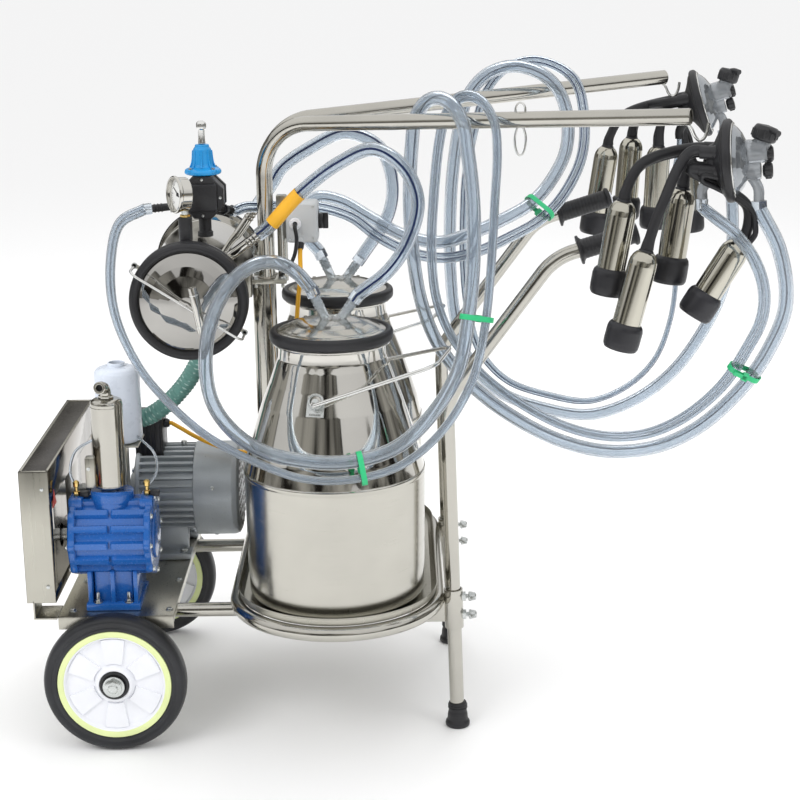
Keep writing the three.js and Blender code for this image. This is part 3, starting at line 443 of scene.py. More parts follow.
    def bolt(self, at, axis, size, slot):
        """A hexagonal head on a washer."""
        head = size * 0.75
        self.disc(size * 1.35, 0, 1.2, at, axis, 24, slot, 0.4)
        self.lathe([(0, 1), (size, 1), (size, head), (size * 0.86, head + size * 0.14),
                    (0, head + size * 0.14)], at, axis, 6, slot, 0)
        return self

    def lines_bore(self, index):
        return any(first <= index < last for first, last in self.bores)

    def make(self, name, body, materials, replaces=(), slot=None, sharp=38):
        """The finished object, riding on the body; edges past sharp degrees stay crisp."""
        mesh = bpy.data.meshes.new(name)
        mesh.from_pydata(metres(np.vstack(self.points)).tolist(), [], self.faces)
        for item in materials:
            mesh.materials.append(item)
        mesh.polygons.foreach_set("material_index", self.slots)
        bm = bmesh.new()
        bm.from_mesh(mesh)
        bores = [face for face in bm.faces if self.lines_bore(face.verts[0].index)]
        loose = [v for v in bm.verts if not v.link_faces]
        bmesh.ops.delete(bm, geom=loose, context="VERTS")
        bmesh.ops.recalc_face_normals(bm, faces=bm.faces)
        bmesh.ops.reverse_faces(bm, faces=bores)
        bm.to_mesh(mesh)
        bm.free()
        mesh.shade_smooth()
        mesh.set_sharp_from_angle(angle=math.radians(sharp))
        made = bpy.data.objects.new(name, mesh)
        bpy.context.scene.collection.objects.link(made)
        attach(made, body)
        if replaces:
            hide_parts(*replaces)
        return made


def turned_about(axis, angle):
    """The matrix that turns points by the angle about the axis."""
    return np.array(Matrix.Rotation(angle, 3, tuple(unit(axis))))


def align(direction):
    """Turns +Z to the direction."""
    return np.stack(basis(direction), axis=1)


def spokes(count, first=0.0):
    """Angles evenly spaced round a circle."""
    return [first + 2 * math.pi * k / count for k in range(count)]


def circle(radius, angle, centre=(0, 0)):
    return centre[0] + radius * math.cos(angle), centre[1] + radius * math.sin(angle)


# ---- hoses and cables -------------------------------------------------------------------------
LID_NOZZLES = (((-6, 0, 28), (-27, -2, 76)), ((10, 0, 28), (38, 2, 65)))
TANK_NOZZLES = dict(near=((-298, -100, 838), (-238, -100, 881)), far=((-300, 80, 838), (-255, 80, 900)))
TEAL_PORT = ((-347, -20, 712), (-347, -20, 680))
SUCTION_INLET = ((-530, -8, 452), (-497, 8, 508))
PULSATOR_NOZZLES = dict(near=((-385, -92, 932), (-418, -100, 930)), far=((-302, -20, 915), (-292, 8, 908)))
GLAND = ((-168, -40, 866), (-168, -54, 848))
CABLE_EXIT = ((-452, 116, 486), (-445.5, 116, 486))
CLAWS = dict(near=((526, -345, 1031), (0.955, -0.28, 0.1)), far=((595, 335, 1054), (0.93, -0.2, 0.3)))
CUPS = dict(
    near=(((364, -330, 971), (338, -330, 816)), ((394, -382, 899), (354, -382, 738)),
          ((462, -296, 984), (441, -300, 828)), ((548, -352, 905), (474, -352, 784))),
    far=(((416, 330, 976), (390, 330, 802)), ((470, 385, 986), (458, 385, 822)),
         ((514, 322, 976), (508, 322, 812)), ((575, 380, 955), (590, 380, 795))),
)


def claw_frame(label):
    """Gives places on a claw by how far they are ahead, beside and above."""
    centre, facing = CLAWS[label]
    out = unit(facing)
    across = unit(np.cross(out, UP))
    return lambda ahead, beside, rise: vec(*centre) + out * ahead + across * beside + vec(0, 0, rise)


HOSES = dict(
    hose_vacuum_near=((-215, -102, 899), (-165, -106, 952), (-95, -118, 1006), (-35, -128, 1030),
      (15, -140, 1000), (38, -148, 945), (22, -158, 880), (-12, -168, 830)),
    hose_vacuum_far=((-222, 86, 946), (-205, 88, 972), (-155, 92, 1006), (-90, 104, 1032),
      (-30, 125, 1005), (-6, 146, 945), (-12, 166, 875)),
    hose_milk_near=((-168, -190, 832), (-198, -204, 852), (-232, -224, 854), (-267, -250, 835),
      (-300, -275, 785), (-315, -297, 715), (-305, -320, 645), (-270, -345, 600), (-220, -362, 570),
      (-155, -368, 555), (-80, -366, 552), (-5, -350, 570), (55, -315, 615), (100, -280, 680),
      (118, -255, 760), (128, -240, 855), (128, -230, 955), (120, -219, 1034), (113, -211, 1078),
      (97, -188, 1107), (75, -158, 1117), (53, -128, 1107), (36, -105, 1078), (30, -96, 1036),
      (25, -92, 940), (30, -88, 840), (45, -82, 750), (75, -82, 675), (135, -105, 605),
      (210, -140, 555), (285, -175, 525), (360, -205, 515), (435, -235, 530), (500, -265, 570),
      (560, -300, 640), (600, -330, 715), (622, -355, 800), (606, -366, 890)),
    hose_milk_far=((-176, 184, 840), (-175, 200, 878), (-148, 206, 900), (-105, 190, 896),
      (-45, 150, 868), (15, 90, 845), (80, 40, 840), (135, 12, 860), (190, 30, 880), (245, 60, 905),
      (285, 100, 940), (315, 135, 990), (320, 160, 1045), (305, 175, 1095), (275, 185, 1125),
      (225, 197, 1140), (175, 212, 1125), (140, 225, 1085), (122, 235, 1020), (110, 240, 935),
      (105, 243, 850), (105, 246, 750), (115, 246, 650), (140, 244, 570), (200, 242, 505),
      (290, 240, 470), (380, 245, 455), (470, 260, 480), (545, 280, 530), (600, 292, 600),
      (640, 300, 680), (660, 306, 770), (658, 318, 880)),
    hose_pulse_near=((-468, -142, 912), (-480, -190, 850), (-468, -245, 775), (-425, -300, 700),
      (-375, -335, 648), (-315, -360, 600), (-240, -375, 560), (-155, -379, 528), (-77, -377, 525),
      (5, -361, 544), (75, -326, 594), (124, -290, 668), (146, -265, 754), (157, -250, 855),
      (163, -243, 955), (167, -241, 1034), (163, -234, 1082), (147, -211, 1112), (125, -181, 1122),
      (103, -151, 1112), (86, -128, 1082), (76, -116, 1038), (66, -102, 940), (62, -90, 843),
      (71, -82, 757), (98, -82, 690), (153, -105, 625), (223, -140, 579), (292, -175, 551),
      (359, -205, 542), (424, -235, 555), (482, -265, 592), (535, -302, 655), (566, -338, 725),
      (582, -366, 780), (578, -392, 835), (558, -404, 885), (528, -399, 925), (502, -372, 945)),
    hose_pulse_far=((-268, 38, 909), (-242, 46, 908), (-195, 58, 906), (-140, 72, 902), (-80, 86, 880),
      (-35, 84, 846), (22, 66, 819), (83, 30, 813), (146, -14, 832), (204, 4, 854), (262, 36, 880),
      (308, 78, 920), (342, 116, 980), (350, 152, 1047), (338, 178, 1108), (311, 201, 1134),
      (261, 213, 1149), (211, 228, 1134), (174, 240, 1090), (152, 244, 1018), (136, 245, 933),
      (131, 246, 850), (131, 248, 751), (141, 248, 657), (163, 246, 585), (215, 242, 528),
      (297, 240, 497), (379, 245, 483), (456, 264, 508), (512, 288, 556), (544, 314, 628),
      (556, 332, 710), (552, 340, 800), (546, 342, 890)),
    hose_suction=((-455, 6, 532), (-420, 2, 557), (-386, -6, 594), (-361, -14, 634)),
    cable=((-415, 110, 478), (-380, 95, 462), (-330, 72, 448), (-280, 56, 444), (-235, 46, 460),
    (-203, 32, 510), (-188, 8, 590), (-182, -20, 680), (-174, -48, 760), (-168, -66, 805)),
)


def over_bucket(side, height):
    return vec(BUCKET["x"], side * BUCKET["side"], height)


def lid_nozzle(side, index):
    seat = over_bucket(side, LID_SEAT)
    return [seat + vec(*point) for point in LID_NOZZLES[index]]


def claw_nozzle(label, kind):
    at = claw_frame(label)
    return (at(46, 0, -46), at(48, 0, -66)) if kind == "milk" else (at(-40, 8, -40), at(-40, 8, -56))


def hose_path(start, points, end, step=6.0):
    """A route that leaves each nozzle, a (root, tip) pair, straight."""
    ends = []
    for root, tip in (start, end):
        out = unit(np.subtract(tip, root))
        ends.append([np.add(tip, out * d) for d in (0.6, 14)])
    line = curve_through([ends[0][1], *[vec(*p) for p in points], ends[1][1]], step)
    return np.vstack([ends[0][0], line, ends[1][0]])


def hose(name, path, radius, twin=False):
    """One clear hose with a dark stripe, or two side by side."""
    shape = Shape()
    if twin:
        each = radius / 2
        for sign in (-1, 1):
            shape.tube(path, each, 18, 0, stripe=(3, 1, 1), lean=(0, 0, 1), offset=sign * each)
            shape.tube(path[1:-1], each * 0.62, 12, 0, lean=(0, 0, 1), offset=sign * each, bore=True)
    else:
        shape.tube(path, radius, 40, 0, stripe=(7, 2, 1), lean=(0, 0, 1))
        shape.tube(path[1:-1], radius * 0.66, 20, 0, lean=(0, 0, 1), bore=True)
    made = shape.make(name + "_line", "frame", [VINYL, STRIPE], (name,), "clear_hose", 60)
    return path


PATHS = {}
for side_name, side in SIDES:
    for kind, start, end in (("vacuum", TANK_NOZZLES[side_name], lid_nozzle(side, 1)),
                             ("milk", lid_nozzle(side, 0), claw_nozzle(side_name, "milk")),
                             ("pulse", PULSATOR_NOZZLES[side_name], claw_nozzle(side_name, "pulse"))):
        both = kind + "_" + side_name
        path = hose_path(start, HOSES["hose_" + both], end)
        PATHS[both] = hose("hose_" + both, path, PULSE if kind == "pulse" else HOSE, twin=kind == "pulse")


def suction_hose():
    path = hose_path(SUCTION_INLET, HOSES["hose_suction"], TEAL_PORT, 1.5)
    wave = 15.9 + 1.1 * np.cos(np.arange(len(path)) * 2 * math.pi / 5)
    wave[:6], wave[-6:] = 16.6, 16.6
    made = Shape().tube(path, wave, 32, 0).make("hose_suction_line", "frame", [TEAL], ("hose_suction",),
                                                "teal_hose", 60)
    suction_spiral(path)


def suction_spiral(path):
    """The stiff lighter coil moulded round the suction hose."""
    u, v = frames_along(path)
    turn = np.arange(len(path)) * 2 * math.pi * 1.5 / 9
    ring = path + 15.6 * (u * np.cos(turn)[:, None] + v * np.sin(turn)[:, None])
    Shape().tube(ring[8:-8], 1.5, 8, 0).make("suction_spiral", "frame", [TEAL_RIB], (), "teal_hose", 60)


def frames_along(path):
    tangents = np.gradient(path, axis=0)
    tangents /= np.linalg.norm(tangents, axis=1)[:, None]
    u = np.cross(tangents, (1, 0, 0))
    u /= np.linalg.norm(u, axis=1)[:, None]
    return u, np.cross(tangents, u)


def motor_cable():
    path = hose_path(CABLE_EXIT, HOSES["cable"], GLAND, 5)
    made = Shape().tube(path, 4, 14, 0).make("motor_cable_line", "frame", [YELLOW], ("motor_cable",),
                                             "yellow_cable", 60)


suction_hose()
motor_cable()


# ---- trolley ----------------------------------------------------------------------------------
def leg_point(side, height):
    """The middle of a leg at a height; the legs lean."""
    return vec(FOOT_X + (KNEE[0] - FOOT_X) * height / KNEE[1], side * LEG_SIDE, height)


def oval_path(x, side, radius, height, steps=48):
    """The hoop's centre line round both buckets."""
    far = [(*circle(radius, a, (x, side)), height) for a in np.linspace(0, math.pi, steps)]
    near = [(px, -(py - side) - side, height) for px, py, _ in far[::-1]]
    return np.array(far + near)


def bead(shape, centre, axis, radius, slot, thick=2.2):
    """A weld bead round a tube's joint, slightly uneven."""
    u, v, _ = basis(axis)
    ring = [np.asarray(centre, float) + (u * math.cos(a) + v * math.sin(a)) * radius
            for a in spokes(72)]
    radii = [thick * (1 + 0.16 * math.sin(18 * a)) for a in spokes(72)]
    shape.tube(ring, radii, 8, slot, loop=True)


def base():
    shape = Shape()
    shape.tube(oval_path(HOOP["x"], HOOP["side"], HOOP["radius"], HOOP["height"]), TUBE, 24, 0, loop=True)
    for _, side in SIDES:
        low, high = leg_point(side, 190), leg_point(side, 262)
        tall = float(np.linalg.norm(high - low))
        shape.ring(13.3, 16.7, 0, tall, low, high - low, 40, 0, 0.8)
        shape.box((34, low[0] - 6), (side * LEG_SIDE - 2.5, side * LEG_SIDE + 2.5), (200, 250), 1.2)
        shape.tube([(low[0] - 14, side * LEG_SIDE + 3, z) for z in np.linspace(201, 249, 13)], 2.2, 8, 1)
        for height in SCREW_HEIGHTS:
            at = leg_point(side, height)
            shape.ring(4.8, 9, 14, 21.5, at, (1, 0, 0), 6, 2, 0.5)
    shape.make("base_hoop_tube", "frame", [TUBING, WELD, ZINC], ("base_hoop",), "polished_tube")

    tray = Shape()
    profile = [(0, 256.4), (166, 256.4), (172.6, 260), (173.4, 271), (175, 272.6), (176.4, 271.6),
               (176, 269.5), (174.6, 270), (174.4, 260), (167.5, 254.6), (0, 254.6)]
    tray.lathe(profile, (HOOP["x"], 0, 0), UP, 96, 0, 0.6, stretch=HOOP["side"])
    tray.make("tray_pan", "frame", [SATIN], ("bucket_tray",), "satin_steel")


def chassis():
    """Rails, cross tubes, wheel plates, deck and axle."""
    shape = Shape()
    top, start, end, wide = sizes(DECK, "top start end side")
    high, axle = RAIL["height"], (WHEEL["x"], 0, WHEEL["radius"])
    for _, sign in SIDES:
        y, plate, skirt = sign * RAIL["side"], sign * 198, sign * (wide - 1.5)
        shape.tube(evenly([(RAIL["start"], y, high), (RAIL["end"], y, high)], 20), TUBE, 24, 0)
        cap = [(0, 0), (11.4, 0), (12.4, 1.6), (12.4, 3), (0, 3)]
        shape.lathe(cap, (RAIL["start"] + 0.4, y, high), (-1, 0, 0), 32, 4, 0.5)
        shape.box((axle[0] - 28, axle[0] + 28), (plate - 3, plate + 3), (108, 232), 1, 1)
        shape.box((start + 6, end - 6), (y - 8, y + 8), (high, top - 1.5), 1, 1)
        for x in (COLUMN["x"], RAIL["front"]):
            bead(shape, (x, y - sign * 12.2, high), (0, 1, 0), 12.8, 2, 1.8)
        shape.box((start, end), (skirt - 1.5, skirt + 1.5), (210, top), 1, 1)
    for x in (COLUMN["x"], RAIL["front"]):
        shape.tube(evenly([(x, -RAIL["side"], high), (x, RAIL["side"], high)], 20), TUBE, 24, 0)
    shape.box((start, end), (-wide, wide), (top - 3, top), 1.2, 1)
    for x in (start, end - 3):
        shape.box((x, x + 3), (-wide + 1, wide - 1), (top - 14, top - 1), 0.8, 1)
    rod = [(0, -299.5), (7, -299), (9.9, -296), (9.9, 296), (7, 299), (0, 299.5)]
    shape.lathe(rod, axle, (0, 1, 0), 32, 3, 0.8)
    nut = [(9, 289.5), (16.2, 289.5), (16.2, 295.4), (13.8, 296.6), (9, 296.6), (9, 289.5)]
    for _, sign in SIDES:
        out = (0, sign, 0)
        shape.ring(9, 17, 231, 237, axle, out, 36, 3, 0.6)
        shape.ring(9, 19, 287.5, 289.5, axle, out, 36, 3, 0.4)
        shape.lathe(nut, axle, out, 6, 3, 0)
        for x in (start + 22, end - 10):
            for y in (60, 205):
                shape.bolt((x, sign * y, top), UP, 5, 3)
    shape.make("chassis_frame", "frame", [TUBING, SATIN, WELD, ZINC, BLACK], ("chassis",), "polished_tube")


def wheel(label, sign):
    """A solid tyre on a white disc with a lime rim and six raised panels."""
    centre = (WHEEL["x"], sign * WHEEL["side"], WHEEL["radius"])
    body = "wheel_" + label
    rubber = Shape()
    tread = [(99.6, -18), (104, -19), (108, -17.4), (111, -19.4), (116, -20.6), (121, -18), (124, -11),
             (125, 0), (124, 11), (121, 18), (116, 20.6), (111, 19.4), (108, 17.4), (104, 19), (99.6, 18),
             (99.6, -18)]
    rubber.lathe(tread, centre, (0, sign, 0), 128, 0, 2.5)
    rubber.make("tyre_" + label + "_tread", body, [TYRE], ("tyre_" + label,), "tyre_rubber", 50)
    disc = Shape()
    disc.lathe([(88, -18), (99, -18.4), (99, 18.4), (90, 18.6), (88, 17), (88, -18)], centre, (0, sign, 0),
               128, 1, 0.8)
    disc.lathe([(11, -20), (31, -20), (34, -7), (84, -7), (89, -17), (90, -17), (90, 17), (87, 17.6),
                (83, 9), (36, 9), (31, 19), (26, 20), (26, 14), (11, 14), (11, -20)], centre, (0, sign, 0),
               96, 0, 2.0)
    for middle in spokes(6, math.pi / 6):
        for face in (1, -1):
            low = np.array([circle(84.5, middle + a) for a in np.linspace(-0.26, 0.26, 12)]
                           + [circle(36, middle + a) for a in np.linspace(0.42, -0.42, 10)])
            heart = low.mean(0)
            near = [vec(*centre) + vec(x, face * 7, z) for x, z in low]
            far = [vec(*centre) + vec(x, face * 13, z) for x, z in (low - heart) * 0.94 + heart]
            disc.loft([near, far], 0)
    for face in (1, -1):
        disc.lathe([(10.6, 13), (25.5, 13), (25.5, 21.4), (22, 22), (18.5, 20.5), (10.6, 20.5), (10.6, 13)],
                   centre, (0, face, 0), 56, 2, 0.8)
    disc.make("rim_" + label + "_disc", body, [WHITE, LIME, BLACK], ("rim_" + label,), "white_plastic")


def legs():
    """The two handled legs with their feet, grips and thumb screws."""
    for label, side in SIDES:
        y = side * LEG_SIDE
        foot = leg_point(side, 0)
        axis = unit(leg_point(side, 1) - foot)
        entry = (HAND[0] + 60, y, HAND[1] + 18)
        corners = [foot + axis * 12, (KNEE[0], y, KNEE[1]), (HAND[0] - 40, y, HAND[1] - 12), entry]
        shape = Shape()
        shape.tube(rounded(corners, [90, 100], 18), TUBE, 28, 0)
        boot = [(0, 0), (19.5, 0), (21.5, 1.5), (22, 6), (21.4, 9), (18.4, 13), (17.6, 24), (17, 27),
                (16, 29), (16, 44), (15, 46), (0, 46)]
        shape.lathe(boot, (foot[0], y, 0), UP, 56, 1, 0.8)
        for rise in (16, 20, 34, 39):
            shape.lathe([(14, rise), (18.6 - rise * 0.03, rise + 0.6), (18.6 - rise * 0.03, rise + 1.8),
                         (14, rise + 2.4), (14, rise)], (foot[0], y, 0), UP, 56, 1, 0.4)
        for height in SCREW_HEIGHTS:
            at = leg_point(side, height)
            shape.bolt(at - vec(12.2, 0, 0), (-1, 0, 0), 5, 2)
        shape.make("leg_" + label + "_tube", "leg_" + label, [TUBING, RUBBER, ZINC],
                   ("leg_handle_" + label,), "polished_tube")
        grip = Shape()
        start = vec(HAND[0], y, HAND[1])
        lean = vec(1, 0, 0.3)
        profile = [(13.4, 0), (24, 0.4), (25, 2), (24.6, 4.6), (21, 6), (17.6, 8.6)]
        for k in range(13):
            base_at = 11 + k * 6.2
            profile += [(16.7, base_at), (17.1, base_at + 1.2), (17.1, base_at + 3.6),
                        (16.7, base_at + 4.8)]
        profile += [(17, 94), (20.4, 96.4), (20.6, 99), (18.6, 102.6), (13, 104.2), (0, 104.4), (0, 63.2),
                    (13.4, 63.2), (13.4, 0)]
        grip.lathe(profile, start, lean, 48, 0, 0.5)
        if label == "far":
            grip.lathe([(0, 103), (11, 103), (11, 106), (6, 107), (0, 107)], start, lean, 32, 1, 0.6)
        grip.make("grip_" + label + "_sleeve", "leg_" + label, [RUBBER, WHITE], ("grip_" + label,),
                  "black_rubber", 50)
        for index, height in enumerate(SCREW_HEIGHTS):
            at = leg_point(side, height) + vec(TUBE + 1, 0, 0)
            screw = Shape()
            screw.lathe([(0, 0), (4, 0), (4, 12.5), (8, 13), (8.4, 16), (6.4, 24), (4, 26.4), (0, 26.8)],
                        at, (1, 0, 0), 32, 0, 0.6)
            for k in range(5):
                screw.lathe([(3.4, 1 + 2 * k), (4.35, 1.8 + 2 * k), (3.4, 2.6 + 2 * k), (3.4, 1 + 2 * k)],
                            at, (1, 0, 0), 24, 0, 0)
            for wing in (-1, 1):
                edge = ((16, 4), (18.5, 8), (22, 12), (25, 14))
                path = curve_through([at + vec(x, wing * w, 0) for x, w in edge], 1.5)
                screw.tube(path, np.interp(np.linspace(0, 1, len(path)), (0, 0.5, 1), (2.6, 3.2, 1.2)), 14,
                           0)
            own = "screw_%s_%d" % (label, index + 1)
            screw.make("thumb_" + own + "_wing", own, [ZINC], ("thumb_" + own,), "bright_wire")


# ---- column, posts and arms -------------------------------------------------------------------
def column():
    x, top = COLUMN["x"], COLUMN["top"]
    shape = Shape()
    shape.disc(COLUMN["radius"], 232, top, (x, 0, 0), UP, 56, 0, 0.8)
    bead(shape, (x, 0, top - 1), UP, 21.6, 1)
    bead(shape, (x, 0, 235), UP, 21.6, 1)
    shape.box((x - 20, x + 42), (-34, 34), (top, top + 8), 1.2, 2)
    for dx in (-13, 35):
        for y in (-26, 26):
            shape.bolt((x + dx, y, top + 8), UP, 5.4, 3)
            shape.disc(3, -8, 0, (x + dx, y, top), UP, 20, 3, 0.4)
    shape.tube(evenly([(-202, 0, top), (-202, 0, 930)], 12), 9, 28, 0)
    shape.box((-211, -193), (-9, 9), (905, 936), 1.5, 2)
    shape.make("column_tube", "frame", [TUBING, WELD, SATIN, ZINC], ("column",), "polished_tube")


def posts():
    """The two swept tubes with a hook at each tip."""
    foot = COLUMN["top"] + 8.3
    for label, side in SIDES:
        y = side * POST["side"]
        tip = vec(*ARM_TIPS[label])
        corners = [(POST["x"], y, foot), (POST["x"], y, POST["shoulder"]), tip]
        path = rounded(corners, [POST["bend"]], 24)
        shape = Shape()
        shape.tube(path, POST["radius"], 32, 0)
        along = unit(path[-1] - path[-2])
        shape.lathe([(0, -1), (12.2, -1), (12.6, 0.6), (12, 1.4), (0, 1.6)], tip, along, 40, 1, 0.4)
        bead(shape, (POST["x"], y, foot + 1), UP, 14, 2)
        hook = [tip + vec(*p) for p in ((-7, 0, -8), (2, 0, -18), (8, 0, -30), (15, 0, -37), (22, 0, -34),
                                        (27, 0, -24), (29, 0, -10))]
        shape.tube(curve_through(hook, 2), 2.6, 14, 3)
        if label == "near":
            held = tip - along * 257 / along[0]
            for rise, half, tall in ((-34, 9, 24), (15, 8, 13)):
                shape.tube([held + vec(*p) for p in loop_points(rise, half, tall)], 1.8, 12, 3, loop=True)
        shape.make("post_" + label + "_tube", "frame", [TUBING, MIRROR, WELD, WIRE], ("post_" + label,),
                   "polished_tube")


def loop_points(rise, half, tall):
    """An upright oval, rise above its own origin."""
    return [(half * math.sin(a), 0, rise + tall * math.cos(a)) for a in spokes(40)]


# ---- buckets ----------------------------------------------------------------------------------
def buckets():
    radius, seam, height, neck = sizes(BUCKET, "radius seam height neck")
    for label, side in SIDES:
        place = over_bucket(side, BUCKET["base"])
        outer = [(0, 0), (146, 0), (151, 2.5), (153.5, 8), (155.5, 60), (radius, seam - 9),
                 (radius + 1.2, seam - 6), (radius + 1.2, seam - 2), (radius, seam), (154, seam + 14),
                 (150, seam + 34), (136, seam + 76), (122, seam + 118), (108, seam + 154),
                 (neck + 5, seam + 186), (neck + 0.6, seam + 197), (neck, seam + 206), (neck, height - 6),
                 (neck + 3, height - 4), (neck + 8, height - 3.5), (neck + 8.6, height - 1),
                 (neck + 8, height)]
        inner = [(neck - 2, height), (neck - 2, seam + 204), (120, seam + 117), (148, seam + 33),
                 (154.4, seam), (149, 8), (0, 2.5)]
        shape = Shape()
        shape.lathe(soft_profile(outer, 2) + inner, place, UP, 128, 0, 0)
        points = shape.points[0] - place
        for index, face in enumerate(shape.faces):
            shape.slots[index] = 1 if min(points[i][2] for i in face) > seam - 3 else 0
        bead(shape, place + vec(0, 0, seam + 0.5), UP, 157.2, 0, 0.9)
        for turn in (0, math.pi):
            spin = turned_about(UP, turn - BAIL["turn"])
            part = lug()
            points = np.vstack(part.points) @ turned_about((1, 0, 0), -0.46).T
            points += vec(0, -114.5, BAIL["height"] - BUCKET["base"])
            shape.add(points @ spin.T + place, part.faces, 2)
        shape.make("bucket_" + label + "_shell", "frame", [BUCKET_SATIN, MIRROR, ZINC],
                   ("bucket_" + label,), "polished_steel", 42)
        bail(label, side)
        lid(label, side)


def lug():
    """A bucket's lug: an arched plate, its ring and its pin, about the pin's place."""
    work = Shape()
    outline = [(-15, -24), (15, -24)] + [circle(15, a, (0, 9)) for a in np.linspace(0, math.pi, 16)]
    work.prism(outline, (0, 7, 0), (0, -1, 0), 4.5)
    ring = [(x, -0.5, z) for x, z in (circle(11.5, a, (0, 2)) for a in spokes(36))]
    work.tube(ring, 2.4, 10, loop=True)
    work.disc(6.5, 4, -8, (0, 0, 0), (0, -1, 0), 28, 0, 0.8)
    work.box((-10, 10), (1, 5), (-22, -14), 1.2)
    return work


def bail(label, side):
    half, reach, tilt = BAIL["half"], BAIL["reach"], BAIL["tilt"]

    def lean(along, across):
        return vec(along * math.cos(tilt), across, along * math.sin(tilt))

    corners = [lean(0, 7 - half), lean(0, -half), lean(reach, -70), lean(reach, 70), lean(0, half),
               lean(0, half - 7)]
    spin = turned_about((0, 0, 1), -BAIL["turn"])
    path = rounded(corners, [4, 34, 34, 4], 12) @ spin.T + over_bucket(side, BAIL["height"])
    shape = Shape()
    shape.tube(path, BAIL["wire"], 18, 0)
    for tip, inward in ((path[0], path[1]), (path[-1], path[-2])):
        shape.lathe([(0, 0), (5, 0), (5, 2), (3, 3), (0, 3)], tip, tip - inward, 24, 0, 0.5)
    shape.make("bail_" + label + "_wire", "bail_" + label, [WIRE], ("bail_" + label,), "bright_wire")


def lid(label, side):
    seat = over_bucket(side, LID_SEAT)
    shape = Shape()
    gasket = [(84, 0), (101, 0), (104.4, 1.4), (106, 5), (106, 13), (104.6, 17.4), (101.5, 20),
              (97.4, 20.6), (94.5, 19), (93.6, 16.6), (84, 14), (84, 0)]
    shape.lathe(gasket, seat, UP, 112, 1, 1.0)
    dome = [(0, 14.4), (84, 14.4), (93.8, 15), (93.8, 18.4), (88, 20.4), (84, 21), (80, 23.4), (66, 30),
            (48, 33.6), (30, 35.4), (0, 36.4)]
    shape.lathe(dome, seat, UP, 112, 0, 1.5)
    for root, tip in LID_NOZZLES:
        start, end = seat + vec(*root), seat + vec(*tip)
        reach = float(np.linalg.norm(end - start))
        shape.lathe([(0, -4), (13, 3), (13, 8), (9.4, 11), (8.4, 14), (8.4, reach), (6.2, reach), (6.2, 10),
                     (0, 10)], start, end - start, 40, 2, 0.5)
        for k in range(3):
            rise = reach - 8 - k * 7
            shape.lathe([(8, rise), (9.5, rise + 1), (8.4, rise + 5), (8, rise)], start, end - start, 40, 2,
                        0)
    for angle in (0.9, 2.4, 4.1, 5.4):
        spot, lean = seat + vec(*circle(62, angle), 31), (*circle(0.25, angle), 1)
        shape.lathe([(0, 0), (3.4, 0), (3, 1.6), (0, 2.2)], spot, lean, 20, 0, 0.4)
    shape.make("lid_" + label + "_dome", "frame", [TUBING, RUBBER, CLEAR], ("lid_" + label,),
               "polished_steel", 42)


# ---- tank -------------------------------------------------------------------------------------
def tank():
    """The lying vacuum tank with its nozzles, gasket rings and bracket."""
    x, height, radius, half, cap = sizes(TANK, "x height radius half cap")
    centre = vec(x, 0, height)
    shape = Shape()
    near = [(cap - 13, -half), (cap - 1, -half), (cap, -half + 1.4), (cap, -half + 10),
            (cap - 3, -half + 12.4), (radius, -half + 13), (cap - 13, -half + 9), (cap - 13, -half)]
    shape.lathe(near, centre, (0, 1, 0), 112, 1, 0.8)
    shell = [(88, -half + 2), (90, -half + 2), (90, -120), (91.2, -119), (91.2, -116), (90, -115),
             (90, 115), (91.2, 116), (91.2, 119), (90, 120), (90, half + 8), (cap - 2, half + 9),
             (cap, half + 11), (cap, half + 19), (cap - 2, half + 21.6), (86, half + 25), (70, half + 34),
             (45, half + 39), (0, half + 43), (0, half + 41), (69, half + 32), (86, half + 22),
             (88, half + 8), (88, -half + 2)]
    shape.lathe(shell, centre, (0, 1, 0), 112, 0, 0.8)
    shape.lathe([(cap - 1, half + 8.6), (cap + 0.4, half + 9), (cap + 0.4, half + 13),
                 (cap - 1, half + 13.4), (cap - 1, half + 8.6)], centre, (0, 1, 0), 112, 1, 0.4)
    shape.box((-268, -258.3), (-20, 20), (755, 812), 2, 3)
    for y in (-11, 11):
        shape.bolt((-264, y, 812), UP, 4.5, 2)
    for root, tip in TANK_NOZZLES.values():
        fitting(shape, vec(*root), vec(*tip), 8.5)
    root, tip = (vec(*p) for p in TEAL_PORT)
    shape.ring(13, 15.4, 0, 32, root, tip - root, 40, 0, 0.5)
    shape.ring(15, 18.6, 19, 28, root, tip - root, 40, 2, 0.8)
    for sign in (-1, 1):
        end = clamp_end(sign)
        inner = centre + unit(vec(end[0] - x, 0, end[2] - height)) * 96
        path = [(inner[0], 12 - half, inner[2]), (end[0], 12 - half, end[2]), (end[0], 6 - half, end[2])]
        shape.tube(rounded(path, [4], 6), 3.6, 14, 3)
        shape.disc(5, -3, 3, vec(end[0], -half + 9, end[2]), (0, 1, 0), 28, 2, 0.8)
    shape.make("tank_barrel", "frame", [MIRROR, RUBBER, ZINC, SATIN], ("tank_shell",), "polished_steel", 42)

    cover = Shape()
    place = vec(x, -half - 0.3, height)
    ring = [(cap - 16, 0), (cap - 1.5, 0), (cap, 2), (cap, 14), (cap - 2, 18), (cap - 6.5, 20.6),
            (cap - 11, 20.4), (cap - 15, 17), (cap - 16, 14), (cap - 16, 0)]
    cover.lathe(ring, place, (0, -1, 0), 128, 1, 1.2)
    dome = [(cap - 14, 12), (cap - 14, 15.5), (78, 22), (64, 29), (48, 34.4), (30, 38.6), (14, 40.6),
            (0, 41), (0, 38.6), (46, 32), (76, 19.6), (cap - 17, 12), (cap - 14, 12)]
    cover.lathe(dome, place, (0, -1, 0), 128, 0, 1.0)
    cover.make("tank_cap_dome", "frame", [DARK_MIRROR, RUBBER], ("tank_cap",), "polished_steel", 42)
    clamp(half)


